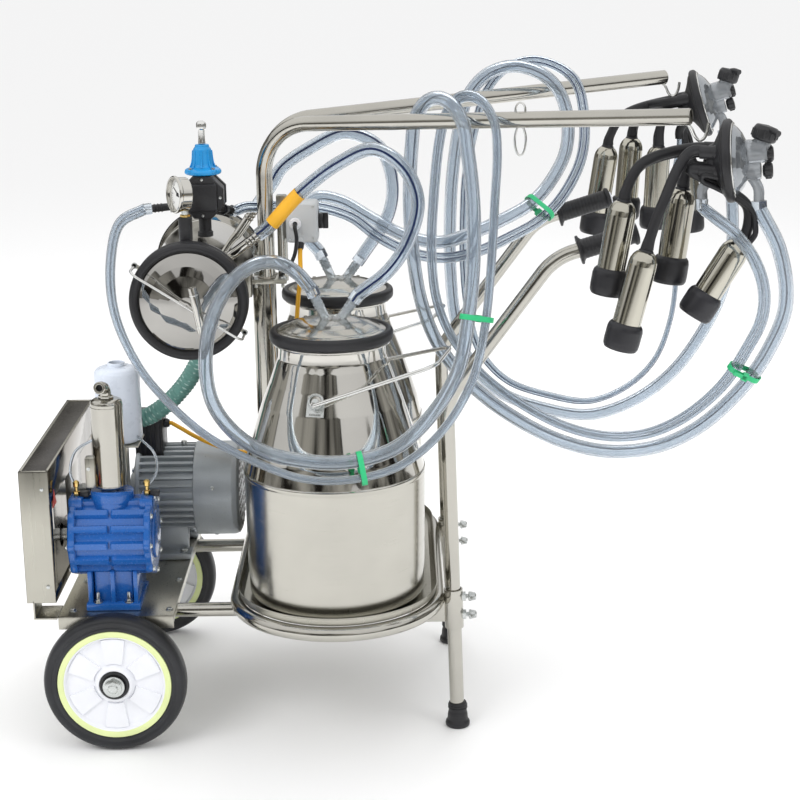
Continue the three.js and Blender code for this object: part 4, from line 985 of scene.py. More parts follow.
def fitting(shape, root, tip, radius):
    """A hose barb on a pipe, with its collar."""
    reach = float(np.linalg.norm(tip - root))
    axis = tip - root
    shape.ring(radius - 2.4, radius, 0, reach, root, axis, 36, 0, 0.4)
    shape.lathe([(radius - 1, 6), (radius + 5, 6), (radius + 5, 9), (radius + 2, 12), (radius - 1, 12),
                 (radius - 1, 6)], root, axis, 36, 2, 0.6)
    for rise in (reach - 6, reach - 13, reach - 20):
        shape.lathe([(radius - 1, rise - 4), (radius, rise - 4), (radius + 1.3, rise), (radius - 1, rise),
                     (radius - 1, rise - 4)], root, axis, 36, 0, 0.3)


def clamp_end(sign):
    """Where the clip's end is pinned to the tank."""
    return vec(TANK["x"] + sign * 0.84 * 109, 0, TANK["height"] - sign * 0.545 * 109)


def clamp(half):
    """The wire clip that holds the cap on, with its roller."""
    back, front = -half - 6, -half - 56
    start, end = clamp_end(-1), clamp_end(1)
    corners = [vec(start[0], back, start[2]), vec(start[0], front, start[2]), vec(end[0], front, end[2]),
               vec(end[0], back, end[2])]
    shape = Shape()
    shape.tube(rounded(corners, [18, 18], 12), 2.2, 16, 0)
    foot, top = vec(-326, front - 4, 741), vec(-339, front - 4, 814)
    shape.ring(5.6, 7.5, 0, 78, foot, top - foot, 40, 1, 0.5)
    shape.disc(5.7, 2, 6, foot, top - foot, 32, 1, 0)
    for rise in (10, 64):
        shape.ring(7, 8.1, rise, rise + 2, foot, top - foot, 40, 0, 0.3)
    shape.make("tank_clamp_wire", "clamp", [WIRE, MIRROR], ("tank_clamp",), "bright_wire")


def gauge():
    """The vacuum gauge on its black stem; its dial has marks and no figures."""
    facing, centre = unit(GAUGE["facing"]), vec(*GAUGE["centre"])
    back = centre - facing * 9
    foot = TANK["height"] + TANK["radius"] + 0.6
    shape = Shape()
    shape.lathe([(0, 0), (27, 0), (29, 1.6), (29.4, 18), (31.4, 19.4), (31.6, 23.4), (29.8, 25),
                 (27.8, 24.6), (27.4, 15.5), (0, 15.5)], back, facing, 80, 0, 0.6)
    shape.disc(27.2, 15, 15.9, back, facing, 72, 1, 0)
    u, v, _ = basis(facing)
    for k in range(31):
        angle = math.radians(-45 + 270 * k / 30)
        long, half = (5.5, 0.45) if k % 5 == 0 else (3, 0.25)
        out = u * math.cos(angle) + v * math.sin(angle)
        beside = np.cross(facing, out) * half
        a, b = (back + facing * 16 + out * r for r in (25 - long, 25))
        mark = [a - beside, b - beside, b + beside, a + beside]
        shape.loft([mark, [p + facing * 0.25 for p in mark]], 2)
    stem = GAUGE["stem"]
    shape.disc(9, foot, foot + 5, stem, UP, 40, 3, 0.5)
    shape.lathe([(0, foot + 5), (10.6, foot + 5), (11.6, foot + 9), (11.8, 921), (10, 923), (0, 923)], stem,
                UP, 48, 2, 0.8)
    shape.disc(8.6, 922, 927, stem, UP, 6, 4, 0.5)
    shape.disc(6, 926, 940, stem, UP, 32, 3, 0.4)
    shape.make("gauge_case", "frame", [MIRROR, DIAL, BLACK, ZINC, BRASS], ("gauge_body",), "gauge_metal",
               42)
    pointer = Shape()
    dial = centre + facing * 5.3
    pointer.lathe([(0, 0), (3.4, 0), (3.4, 3), (2.4, 4), (0, 4)], dial, facing, 32, 0, 0.5)
    outline = [(-1.3, -6), (1.3, -6), (0.9, 12), (0.25, 22), (-0.25, 22), (-0.9, 12)]
    flat, turn = np.array([(a, b, 0) for a, b in outline]), shortest(facing).T
    pointer.loft([(flat + vec(0, 0, h)) @ turn + dial for h in (1.4, 2.3)])
    pointer.make("gauge_pointer", "needle", [BLACK], ("gauge_needle",), "needle_black")


def shortest(direction):
    """The least rotation that takes +Z to the direction, as the CAD part uses."""
    towards = unit(direction)
    return turned_about(np.cross(UP, towards), math.acos(float(towards[2])))


def pulsator():
    x, y, height, base_at = sizes(PULSATOR, "x y height top")
    foot = TANK["height"] + TANK["radius"] + 0.6
    shape = Shape()
    for low, high, radius in ((-29, -18, 39.6), (-17, 17, 37.4), (18, 29, 39.6)):
        outline = [circle(radius, a) for a in spokes(8, math.pi / 8)]
        shape.prism(outline, (x, y + low, height), (0, 1, 0), high - low, 0, 1.6)
    shape.lathe([(0, -31), (20, -31), (24, -29), (24, -27), (0, -27)], (x, y, height), (0, 1, 0), 48, 0,
                0.8)
    for across, rise in (circle(31, a, (x, height)) for a in spokes(8, math.pi / 4)):
        shape.lathe([(0, 0), (2.8, 0), (2.6, 1.8), (0, 2.2)], (across, y - 29, rise), (0, -1, 0), 6, 1, 0)
    shape.lathe([(0, foot), (13.5, foot), (13.5, foot + 8), (11, foot + 10), (11, 918), (0, 918)],
                (x, y, 0), UP, 48, 0, 0.8)
    shape.box((x - 26, x + 26), (-97, -88), (922, 970), 3, 0)
    for label, start in (("near", (-350, -75, 932)), ("far", (-320, -50, 925))):
        root, tip = PULSATOR_NOZZLES[label]
        out = unit(np.subtract(tip, root))
        shape.tube(rounded([start, root, tip], [6], 6), 6.6, 24, 0)
        for k in range(3):
            barb = [(5, -2), (6.6, -2), (8, 1.5), (5, 1.5), (5, -2)]
            shape.lathe(barb, np.subtract(tip, out * (5 + 6 * k)), out, 28, 0, 0.3)
        shape.disc(10, -5, 3, root, out, 6, 0, 0.6)
    shape.make("pulsator_body", "frame", [BLACK, ZINC], ("pulsator",), "black_rubber", 30)
    regulator(x, y, base_at)


def regulator(x, y, base_at):
    """The blue vacuum regulator on the pulsator, with its adjusting stem."""
    valve = Shape()
    valve.lathe([(0, base_at), (29, base_at), (31.6, base_at + 1.5), (32, base_at + 5), (30, base_at + 9),
                 (24, base_at + 11), (19.5, base_at + 13), (17.8, base_at + 18), (15.5, base_at + 43),
                 (14, base_at + 45.5), (12.4, base_at + 47), (12, base_at + 51), (0, base_at + 52)],
                (x, y, 0), UP, 64, 0, 1.2)
    for angle in spokes(4, math.pi / 4):
        spot = (*circle(27, angle, (x, y)), base_at + 4)
        valve.lathe([(0, 0), (6.5, 0), (6.5, 5), (5.5, 6), (0, 6)], spot, UP, 28, 0, 0.8)
        valve.lathe([(0, 6), (3.6, 6), (3.4, 8.6), (0, 9)], spot, UP, 6, 1, 0)
    for angle in spokes(8):
        path = [(*circle(r, angle, (x, y)), base_at + h) for r, h in ((21.5, 12), (18.2, 20), (15.8, 41))]
        valve.tube(curve_through(path, 4), 1.8, 10, 0)
    valve.make("regulator_cone", "frame", [VALVE_BLUE, ZINC], ("regulator_body",), "regulator_blue", 42)
    knob = Shape()
    knob.lathe([(0, 0), (6.4, 0), (6, 4), (5.6, 8), (5.6, 24), (8, 25.6), (8.6, 28), (8.6, 34), (7.4, 37),
                (4, 39), (0, 39.4)], (x, y, base_at + 52.3), UP, 48, 0, 0.8)
    knob.make("regulator_stem", "adjuster", [WIRE], ("regulator_screw",), "bright_wire", 42)


# ---- pump, motor and drive --------------------------------------------------------------------
def polar(radius_at, count):
    """An outline whose radius depends on the angle."""
    return [circle(radius_at(a), a) for a in spokes(count)]


def pump():
    """The ribbed blue pump on its foot, with oil cups and inlet pipe."""
    x, y, height = sizes(PUMP, "x y height")
    top = DECK["top"]
    shape = Shape()
    centre = vec(x, y, height)

    def ribs(a):
        return 64 + 7 * max(-0.6, min(0.9, 2.4 * math.cos(14 * a)))

    for low, high in ((-66, -2.2), (2.2, 66)):
        shape.prism(polar(ribs, 168), centre + vec(low, 0, 0), (1, 0, 0), high - low, 0, 2.5)
    shape.disc(62, -66, 66, centre, (1, 0, 0), 96, 0, 1)

    def lobes(a):
        return 70 + 5 * max(0, math.cos(8 * a)) ** 2

    for low, high in ((-72, -60), (60, 72)):
        shape.prism(polar(lobes, 160), centre + vec(low, 0, 0), (1, 0, 0), high - low, 0, 2)
    shape.lathe([(12.5, -80), (30, -80), (34, -77), (37, -72), (12.5, -72), (12.5, -80)], centre, (1, 0, 0),
                64, 0, 1.5)
    shape.lathe([(0, 72), (44, 72), (42, 76), (20, 79), (0, 79)], centre, (1, 0, 0), 64, 0, 1.5)
    for angle in spokes(8):
        spot = centre + vec(0, *circle(68, angle))
        for end, way in ((-72, -1), (72, 1)):
            shape.bolt(spot + vec(end, 0, 0), (way, 0, 0), 4.2, 1)
    shape.box((x - 48, x + 48), (y - 58, y + 56), (top + 0.3, top + 14), 2.5, 0)
    shape.box((x - 34, x + 34), (y - 42, y + 40), (top + 10, height - 40), 4, 0)
    for dx in (-40, 0, 40):
        shape.box((x + dx - 4, x + dx + 4), (y - 54, y + 52), (top + 8, height - 52), 2, 0)
    for dx in (-27, 27):
        for dy in (-50, 48):
            shape.bolt((x + dx, y + dy, top + 14), UP, 6.2, 1)
            shape.lathe([(0, 0), (3.4, 0), (3.4, 18), (2.6, 19), (0, 19)], (x + dx, y + dy, top + 14), UP,
                        20, 1, 0.3)
    funnel = [(0, -24), (23, -24), (27, 8), (31, 34), (34, 70), (36, 74), (36, 82.6), (0, 82.6)]
    shape.lathe(funnel, (x, y - 16, height), (0, 0.19, 1), 72, 0, 2)
    shape.lathe([(0, height + 60), (36, height + 60), (38, height + 68), (38, 440), (0, 440.7)], (x, y, 0),
                UP, 72, 0, 2)
    for dx in (-62, 62):
        shape.box((x + dx - 12, x + dx + 12), (y - 30, y + 22), (height + 42, height + 74), 3, 0)
        shape.disc(6, 0, 8, (x + dx, y - 6, height + 74), UP, 6, 3, 0.5)
        shape.lathe([(0, 8), (3.6, 8), (3.6, 16), (5.6, 17), (5.6, 25), (2.4, 28), (0, 28)],
                    (x + dx, y - 6, height + 74), (0, 0, 1), 28, 3, 0.5)
        shape.box((x + dx + 6, x + dx + 22), (y - 12, y + 2), (height + 72, height + 82), 2, 2)
    inlet = rounded([(-530, -105, 390), *SUCTION_INLET], [36], 12)
    shape.tube(inlet, 14, 32, 0)
    shape.disc(17.6, -40, -32, SUCTION_INLET[1], np.subtract(*SUCTION_INLET[::-1]), 6, 2, 1)
    shape.box((-541, -465), (-92, -12), (499, 502.7), 1, 4)
    shape.box((-497, -487), (-96, -60), (388, 501), 1.5, 4)
    shape.make("pump_casting", "frame", [PUMP_BLUE, ZINC, BLACK, BRASS, SATIN], ("pump_body",), "pump_blue",
               42)
    oil_lines()


def oil_lines():
    """The two thin lines from the bottle to the oil cups on the pump."""
    left = ((-568, -156, 446), (-580, -140, 470), (-574, -112, 500), (-548, -84, 512), (-532, -70, 518))
    right = ((-444, -156, 446), (-428, -142, 468), (-434, -112, 494), (-456, -84, 508), (-474, -70, 518))
    for name, points in (("left", left), ("right", right)):
        path = curve_through(points, 3)
        made = Shape().tube(path, 2.4, 14, 0).make("oil_line_" + name, "frame", [VINYL], (), "clear_hose",
                                                   60)


def rotors():
    low, high = PULLEY["x"] - 9, PULLEY["x"] + 9
    for name, place, inner in (("pump", PUMP, -440), ("motor", MOTOR, -455)):
        y, height, pulley = place["y"], place["height"], PULLEY[name]
        shape = Shape()
        shape.disc(11.2, low - 5.6, inner, (0, y, height), (1, 0, 0), 40, 0, 0.6)
        shape.lathe([(11, low), (14, low), (15, low + 4), (pulley - 14, low + 4), (pulley - 10, low),
                     (pulley + 4, low), (pulley + 4, low + 2.6), (pulley - 4.6, low + 5.6),
                     (pulley - 4.6, high - 5.6), (pulley + 4, high - 2.6), (pulley + 4, high),
                     (pulley - 10, high), (pulley - 14, high - 4), (18, high - 4), (17, high + 6),
                     (11, high + 6), (11, low)], (0, y, height), (1, 0, 0), 96, 1, 0.4)
        for angle in spokes(5):
            spot = (low + 2, *circle(pulley - 19, angle, (y, height)))
            shape.disc(3.5, 0, 2.6, spot, (-1, 0, 0), 20, 0, 0.3)
        shape.box((low - 5, low + 1), (y - 2.5, y + 2.5), (height + 9, height + 13.4), 0.5, 0)
        shape.make(name + "_rotor_pulley", name + "_spindle", [ZINC, BLACK], (name + "_rotor",),
                   "shaft_steel", 42)


def belt():
    """The belt round both pulleys, wider outside than inside."""
    a, b = vec(PUMP["y"], PUMP["height"], 0)[:2], vec(MOTOR["y"], MOTOR["height"], 0)[:2]
    along = math.atan2(b[1] - a[1], b[0] - a[0])
    spread = math.acos((PULLEY["pump"] - PULLEY["motor"]) / float(np.linalg.norm(b - a)))

    def ring(grow):
        points = []
        for centre, pulley, start, end in ((a, "pump", along + spread, along + 2 * math.pi - spread),
                                           (b, "motor", along - spread, along + spread)):
            radius = (PULLEY[pulley] - 4) * 1.015 + grow
            points += [centre + radius * vec(math.cos(t), math.sin(t)) for t in np.linspace(start, end, 40)]
        return points

    inner, outer = ring(0.4), ring(7)
    count = len(inner)
    points = []
    for half, loop in ((2.2, inner), (3.4, outer)):
        for sign in (-1, 1):
            points += [(PULLEY["x"] + sign * half, p[0], p[1]) for p in loop]
    faces = []
    for k in range(count):
        n = (k + 1) % count
        for r, s in ((0, 1), (1, 3), (3, 2), (2, 0)):
            faces.append([r * count + k, r * count + n, s * count + n, s * count + k])
    shape = Shape().add(points, faces, 0)
    shape.make("v_belt_loop", "frame", [RUBBER], ("v_belt",), "black_rubber", 42)


def motor():
    """The finned motor with its fan cowl, feet and terminal box."""
    y, height, radius, start, fins, end = sizes(MOTOR, "y height radius start fins end")
    centre = vec(0, y, height)
    shape = Shape()

    def fin(a):
        if math.sin(a) < -0.72:
            return 78
        return 79 + 9 * max(0.0, min(1.0, 2.2 * math.cos(36 * a)))

    shape.prism(polar(fin, 432), (start + 22, y, height), (1, 0, 0), fins - start - 26, 0)
    shape.lathe([(0, start), (29, start), (32, start + 3), (36, start + 10), (78, start + 14),
                 (86.5, start + 17), (radius, start + 20), (radius, start + 25), (85, start + 27),
                 (0, start + 27)], centre, (1, 0, 0), 96, 0, 1)
    cowl = [(0, fins - 4), (86, fins - 4), (90, fins - 3), (90, end - 14), (87, end - 5), (78, end - 0.6),
            (60, end), (0, end)]
    shape.lathe(cowl, centre, (1, 0, 0), 112, 0, 1.5)
    for angle in spokes(4, math.pi / 4):
        shape.bolt(centre + vec(start + 14, *circle(74, angle)), (-1, 0, 0), 4.5, 1)
        out = vec(0, *circle(1, angle + 0.5))
        shape.lathe([(0, -1), (4.2, -1), (4, 1.4), (0, 2)], centre + vec(end - 50, 0, 0) + out * 90, out,
                    24, 1, 0.4)
    for ring_radius, count in ((22, 8), (38, 14), (54, 20), (69, 26)):
        for angle in spokes(count):
            spot = centre + vec(end - 0.4, *circle(ring_radius, angle))
            shape.disc(4.6, 0, 0.9, spot, (1, 0, 0), 12, 2, 0)
    for side in (-1, 1):
        shape.box((start + 30, fins - 12), (y + side * 62 - 22, y + side * 62 + 22),
                  (DECK["top"] + 0.3, DECK["top"] + 13), 3, 0)
        shape.box((start + 36, fins - 18), (y + side * 52 - 7, y + side * 52 + 7),
                  (DECK["top"] + 8, height - 50), 3, 0)
        for x in (start + 44, fins - 26):
            shape.bolt((x, y + side * 70, DECK["top"] + 13), UP, 6, 1)
    shape.box((-500, -446), (y - 34, y + 30), (height + 66, 496), 4, 2)
    shape.box((-502, -444), (y - 36, y + 32), (495, 506), 3, 2)
    for k in range(5):
        shape.box((-492 + k * 10, -489 + k * 10), (y - 36, y - 32), (height + 76, 490), 0.8, 2)
    shape.lathe([(0, 0), (9, 0), (9, 8), (7, 12), (0, 12)], (-447, 116, 486), (1, 0, 0), 6, 2, 0.5)
    shape.lathe([(0, 0), (5.5, 0), (5.5, 10), (4.5, 11), (0, 11)], (x, y, height + 84), UP, 24, 1, 0.5)
    shape.make("motor_housing", "frame", [MOTOR_GREY, ZINC, BLACK], ("motor_body",), "motor_grey", 35)


def guard():
    """The sheet box over the pulleys and belt."""
    x0, x1, side, bottom, top = sizes(GUARD, "x0 x1 side bottom top")
    shape = Shape()
    wall = 1.5
    long, wide, tall = (x0, x1), (-side, side), (bottom, top)
    # The strips of the wall towards the pump take slot 4, steel darkened as painted shade.
    walls = (((x0, x0 + wall), wide, tall, 0), ((x1 - wall, x1), wide, (bottom, bottom + 22), 4),
             ((x1 - wall, x1), wide, (top - 60, top), 4), (long, (-side, wall - side), tall, 0),
             (long, (side - wall, side), tall, 0), (long, wide, (bottom, bottom + wall), 0),
             (long, wide, (top - 3.4, top - 2.2), 0))
    for xs, ys, zs, slot in walls:
        shape.box(xs, ys, zs, 0.7, slot)
    inner_face(shape, x1, side, bottom, top, wall)
    # The top's raised border and its dark panel.
    for xs, ys in (((x0, x0 + 5), wide), ((x1 - 5, x1), wide), (long, (-side, 8 - side)),
                   (long, (side - 8, side))):
        shape.box(xs, ys, (top - 2.5, top), 0.8, 0)
    shape.box((x0 + 5.2, x1 - 5.2), (-side + 9.4, side - 9.4), (top - 2.4, top - 1.4), 0.2, 1)
    for height in (292, 470):
        shape.lathe([(0, 0), (3.6, 0), (3.4, 1.6), (0, 2.2)], (x1 - 12, -side, height), (0, -1, 0), 24, 3,
                    0.4)
    shape.prism([(-17, -12), (17, -12), (0, 17)], (x1 - 0.4, -196, 440), (1, 0, 0), 0.9, 2)
    shape.box((x0 + 10, x0 + 13), (-side, -side + 60), (234, bottom + 4), 0.8, 0)
    shape.box((x0 + 10, DECK["start"] - 0.3), (-side, -side + 60), (231, 234.3), 0.8, 0)
    shape.make("belt_guard_box", "frame", [SATIN, DARK_PANEL, RED, ZINC, SHADED], ("belt_guard",),
               "satin_steel", 35)


def inner_face(shape, x1, side, bottom, top, wall):
    """The wall towards the pump, with a round hole for each shaft, all in steel darkened as painted shade.
    """
    low, high = bottom + 22, top - 60
    spots = [(PUMP["y"], PUMP["height"]), (MOTOR["y"], MOTOR["height"])]
    edges = [-side, *[y + s * 60 for y, _ in spots for s in (-1, 1)], side]
    for y0, y1 in zip(edges[::2], edges[1::2]):
        if y1 - y0 > 1:
            shape.box((x1 - wall, x1), (y0, y1), (low - 1, high + 1), 0.2, 4)
    for y, z in spots:
        count = 48
        points, faces = [], []
        for depth in (x1 - wall, x1):
            for k in range(count):
                a = 2 * math.pi * (k + 0.5) / count
                c, s = math.cos(a), math.sin(a)
                points.append((depth, y + 21 * c, z + 21 * s))
                room = high - z if s > 0 else z - low
                reach = min(60 / max(abs(c), 1e-6), room / max(abs(s), 1e-6))
                points.append((depth, y + reach * c, z + reach * s))
        for k in range(count):
            n = (k + 1) % count
            a, b, c, d = 2 * k, 2 * n, 2 * k + 1, 2 * n + 1
            e = 2 * count
            faces += [[a, b, d, c], [a + e, b + e, d + e, c + e], [a, b, b + e, a + e],
                      [c, d, d + e, c + e]]
        shape.add(points, faces, 4)


def muffler():
    x, y = PUMP["x"] - 2, PUMP["y"]
    shape = Shape()
    shape.lathe([(0, 441), (18, 441), (18, 446), (26, 447), (28, 450), (28, 600), (26.6, 604), (22, 606.4),
                 (14, 607.4), (0, 608)], (x, y, 0), UP, 96, 0, 1)
    for height in (452, 594):
        bead(shape, (x, y, height), UP, 28, 0, 0.7)
    spout = rounded([(x, y, 602), (x, y, 628), (x - 6, y - 26, 632)], [14], 12)
    shape.tube(spout[:-1], 9.5, 36, 0)
    out = unit(spout[-1] - spout[-2])
    shape.lathe([(5.4, -14), (9.5, -14), (11, -10), (11, 0), (9.6, 1), (6.4, 1), (5.4, -1), (5.4, -14)],
                spout[-1], out, 40, 0, 0.6)
    shape.disc(5.6, -13, -9, spout[-1], out, 32, 1, 0)
    shape.lathe([(9, 607), (13.5, 607), (13.5, 612), (10, 614), (9, 614), (9, 607)], (x, y, 0), UP, 6, 0,
                0.4)
    shape.box((x - 42, x - 25), (y - 10, y + 10), (447, 501), 1, 2)
    shape.disc(3.6, 0, 2, (x - 36, y - 10, 482), (0, -1, 0), 6, 3, 0)
    shape.make("muffler_can", "frame", [TUBING, BLACK, SATIN, ZINC], ("muffler",), "polished_steel", 42)


def bottle():
    radius = BOTTLE["radius"]
    shape = Shape()
    profile = [(0, 0), (34, 0), (39, 2.4), (radius, 8), (radius, 122), (39.4, 129), (35, 134), (28, 136.6),
               (16.4, 137.6), (15.4, 139), (15.4, 144.6), (14, 145), (12.6, 144.4), (12.6, 136), (30, 133),
               (36.8, 127), (38.6, 120), (38.6, 8), (35, 3.4), (0, 2.6)]
    shape.lathe(profile, BOTTLE["place"], UP, 80, 0, 1)
    shape.make("oil_bottle_wall", "frame", [MILKY], ("oil_bottle",), "bottle_plastic", 42)


def switch():
    shape = Shape()
    shape.lathe([(4.2, 0), (10.5, 0), (11, 3), (9.4, 6), (4.2, 6), (4.2, 0)], (-176, -48, 892), (0, -1, 0),
                40, 3, 0.8)
    left, right, low, high = sizes(SWITCH, "left right low high")
    shape.box((left, right), (-47, 8), (low, high), 7, 0, steps=4)
    shape.box((left + 1.7, right - 2), (-48, -44), (low + 2, high - 2), 5, 0, steps=3)
    for x in (left + 7.7, right - 8):
        for z in (low + 8, high - 8):
            shape.disc(2.6, 0, 0.8, (x, -48, z), (0, -1, 0), 20, 2, 0.2)
    root, tip = (vec(*p) for p in GLAND)
    shape.lathe([(0, -6), (10.5, -6), (10.5, 2), (8, 4), (8, 12), (0, 12)], root, tip - root, 36, 0, 0.8)
    shape.lathe([(4.3, 10), (7, 10), (6.4, 20), (4.6, 24), (4.3, 24), (4.3, 10)], root, tip - root, 32, 1,
                0.6)
    shape.disc(20, -0.6, 0.2, (right, KNOB["y"], KNOB["height"]), (1, 0, 0), 56, 1, 0)
    shape.make("switch_box_case", "frame", [LIGHT_GREY, BLACK, ZINC, WHITE], ("switch_box",), "switch_grey",
               42)
    path = curve_through(((-176, -49, 892), (-176, -62, 888), (-173, -68, 868), (-178, -64, 838),
                          (-192, -50, 812), (-205, -30, 797)), 3)
    lead = Shape().tube(path, 3.4, 14, 0).make("switch_lead", "frame", [BLACK], (), "black_rubber", 60)
    knob, (face, y, height) = Shape(), sizes(KNOB, "face y height")
    knob.lathe([(0, 0), (14, 0), (14, 5), (12.6, 8), (0, 8)], (face, y, height), (1, 0, 0), 64, 0, 0.8)
    knob.box((face + 6.1, face + 17), (y - 3, y + 3), (height - 14, height + 14), 1.6, 0)
    knob.box((face + 16.8, face + 17.4), (y - 0.7, y + 0.7), (height + 3.5, height + 12.5), 0.1, 1)
    knob.make("switch_knob_turn", "knob", [BLACK, WHITE], ("switch_knob",), "switch_black", 42)


# ---- milking clusters -------------------------------------------------------------------------
def clusters():
    for label, _ in SIDES:
        at = claw_frame(label)
        centre, out = at(0, 0, 0), at(1, 0, 0) - at(0, 0, 0)
        shape = Shape()
        rim = [(52, -7), (62, -7), (65.5, -4), (66, 0), (65.5, 4), (62, 7), (54, 9), (50, 6), (52, -7)]
        shape.lathe(rim, centre, out, 96, 0, 1.5)
        shape.lathe([(0, -34), (22, -34), (27, -31), (31, -22), (44, -15), (56, -10), (60, -5), (56, 0),
                     (0, 0)], centre, out, 80, 0, 2)
        shape.lathe([(0, 2), (57, 2), (57, 8), (51, 15), (43, 21), (30, 27), (16, 30), (0, 31)], centre,
                    out, 96, 1, 1)
        shape.lathe([(57, 7), (59.6, 7), (60, 9), (57, 10), (55, 9), (57, 7)], centre, out, 96, 2, 0.3)
        for index in range(4):
            side, rise = stub_place(index)
            stub = at(-10, side, rise)
            shape.lathe([(0, 0), (12.5, 0), (12.5, 10), (10.5, 13), (10.5, 34), (0, 34)], stub,
                        at(-58, side, rise + 6) - stub, 32, 0, 1)
        valve_block(shape, at, out)
        milk = at(30, 0, -20), at(46, 0, -46), at(48, 0, -66)
        pulse = at(-22, 8, -18), at(-40, 8, -40), at(-40, 8, -56)
        shape.tube(curve_through(milk, 3), 8.4, 28, 3)
        shape.tube(curve_through(pulse, 3), 8.4, 28, 3 if label == "near" else 0)
        for index, (top, mouth) in enumerate(CUPS[label]):
            cup(label, index, vec(*top), vec(*mouth), at, shape)
        shape.make("claw_" + label + "_parts", "frame", [RUBBER, SMOKED, WIRE, SMOKED_CLEAR, BLACK, ZINC],
                   ("claw_" + label,), "black_rubber", 42)


def stub_place(index):
    """Where a teat cup's tube leaves its claw, beside and above the claw's middle."""
    return (26 if index % 2 else -26), (16 if index < 2 else -12)


def valve_block(shape, at, out):
    """The clear block on the claw's dome, with its lever and two round knobs."""
    u, v, _ = basis(out)
    shape.lathe([(0, 24), (19, 24), (19, 52), (16, 58), (0, 58)], at(0, 0, 12), out, 40, 3, 1.5)
    shape.disc(14, 20, 50, at(0, 4, -18), out, 32, 3, 1.5)
    shape.disc(7, 34, 60, at(0, 0, 12), out, 28, 5, 0.8)
    shape.disc(14, 0, 22, at(45, 0, 10), vec(0.3, 0, 1), 36, 3, 1.5)
    shape.lathe([(0, 18), (15, 18), (19, 20), (20, 24), (20, 36), (17, 42), (0, 44)], at(45, 0, 10),
                vec(0.3, 0, 1), 40, 4, 2)
    for angle in spokes(12):
        spot = at(45 + 19 * math.cos(angle), 19 * math.sin(angle), 10 - 5.7 * math.cos(angle))
        shape.disc(2.2, 24, 36, spot, vec(0.3, 0, 1), 10, 4, 0)
    shape.tube(curve_through([at(54, 2, 44), at(64, 12, 44), at(76, 24, 38)], 3), 5, 18, 4)
    for beside, rise in ((-4, 6), (-4, -20)):
        shape.lathe([(0, 52), (8, 52), (12, 56), (12.6, 62), (11, 67), (0, 68)], at(0, beside, rise), out,
                    36, 4, 1.2)
        for angle in spokes(10):
            spot = at(0, beside, rise) + (u * math.cos(angle) + v * math.sin(angle)) * 12
            shape.disc(1.6, 56, 65, spot, out, 8, 4, 0)
    shape.tube(curve_through([at(-14, 0, 6), at(-28, 0, 14), at(-40, 0, 8)], 3), 3.4, 14, 2)


def cup(label, index, top, mouth, at, claw):
    """A teat cup, and the two rubber tubes that join it to its claw."""
    axis = unit(mouth - top)
    length = float(np.linalg.norm(mouth - top))
    shell_end = length - 36
    side, rise = stub_place(index)
    up = -axis
    above = (top + up * 52) * 0.82 + at(-60, side, rise) * 0.18
    route = (at(-16, side, rise), at(-58, side, rise + 6), above, top + up * 12, top + up * 0.4)
    line = curve_through(route, 4)
    thick = np.full(len(line), 8.6)
    thick[-5:] = np.linspace(8.8, 10.5, 5)
    claw.tube(line, thick, 24, 0)
    shift = unit(np.cross(line[len(line) // 2] - line[0], UP))
    small = line + shift * 13 + vec(0, 0, -9)
    route = [*small[2:-9:6], top + shift * 17 + up * 14, top + shift * 16 + axis * 3]
    claw.tube(curve_through(route, 4), 4.6, 16, 0)
    shape = Shape()
    shell = [(9.8, 4), (12, 4), (15, 6), (19, 11), (22, 18), (23, 26), (23, shell_end - 8),
             (23.4, shell_end), (21, shell_end), (21, 26), (14, 12), (9.8, 9), (9.8, 4)]
    shape.lathe(shell, top, axis, 64, 0, 1.2)
    shape.lathe([(0, 0), (9.6, 0), (12, 3), (12, 8), (9.6, 10), (0, 10)], top, axis, 40, 1, 0.8)
    nipple = top + axis * 14 + shift * 16
    shape.disc(3.6, 0, 13, nipple, up * 0.9 + shift * 0.4, 24, 2, 0.5)
    mouthpiece = [(12.6, 34), (20.5, 34), (20.5, shell_end - 10), (24.6, shell_end - 8),
                  (27.5, shell_end - 4), (29, shell_end + 2), (29, shell_end + 22), (28.4, shell_end + 30),
                  (25.6, length - 1), (22, length), (17, length - 1.6), (12.6, length - 5), (12.6, 34)]
    shape.lathe(mouthpiece, top, axis, 64, 1, 1.2)
    shape.disc(13.4, 32, 36, top, axis, 40, 1, 0)
    shape.make("teat_cup_%s_%d_shell" % (label, index + 1), "frame", [CUP_STEEL, LINER, WIRE],
               ("teat_cup_%s_%d" % (label, index + 1),), "polished_steel", 42)


# ---- bands and sleeve on the hoses ------------------------------------------------------------
def nearest(path, spot):
    return path[int(np.argmin(np.linalg.norm(path - vec(*spot), axis=1)))]


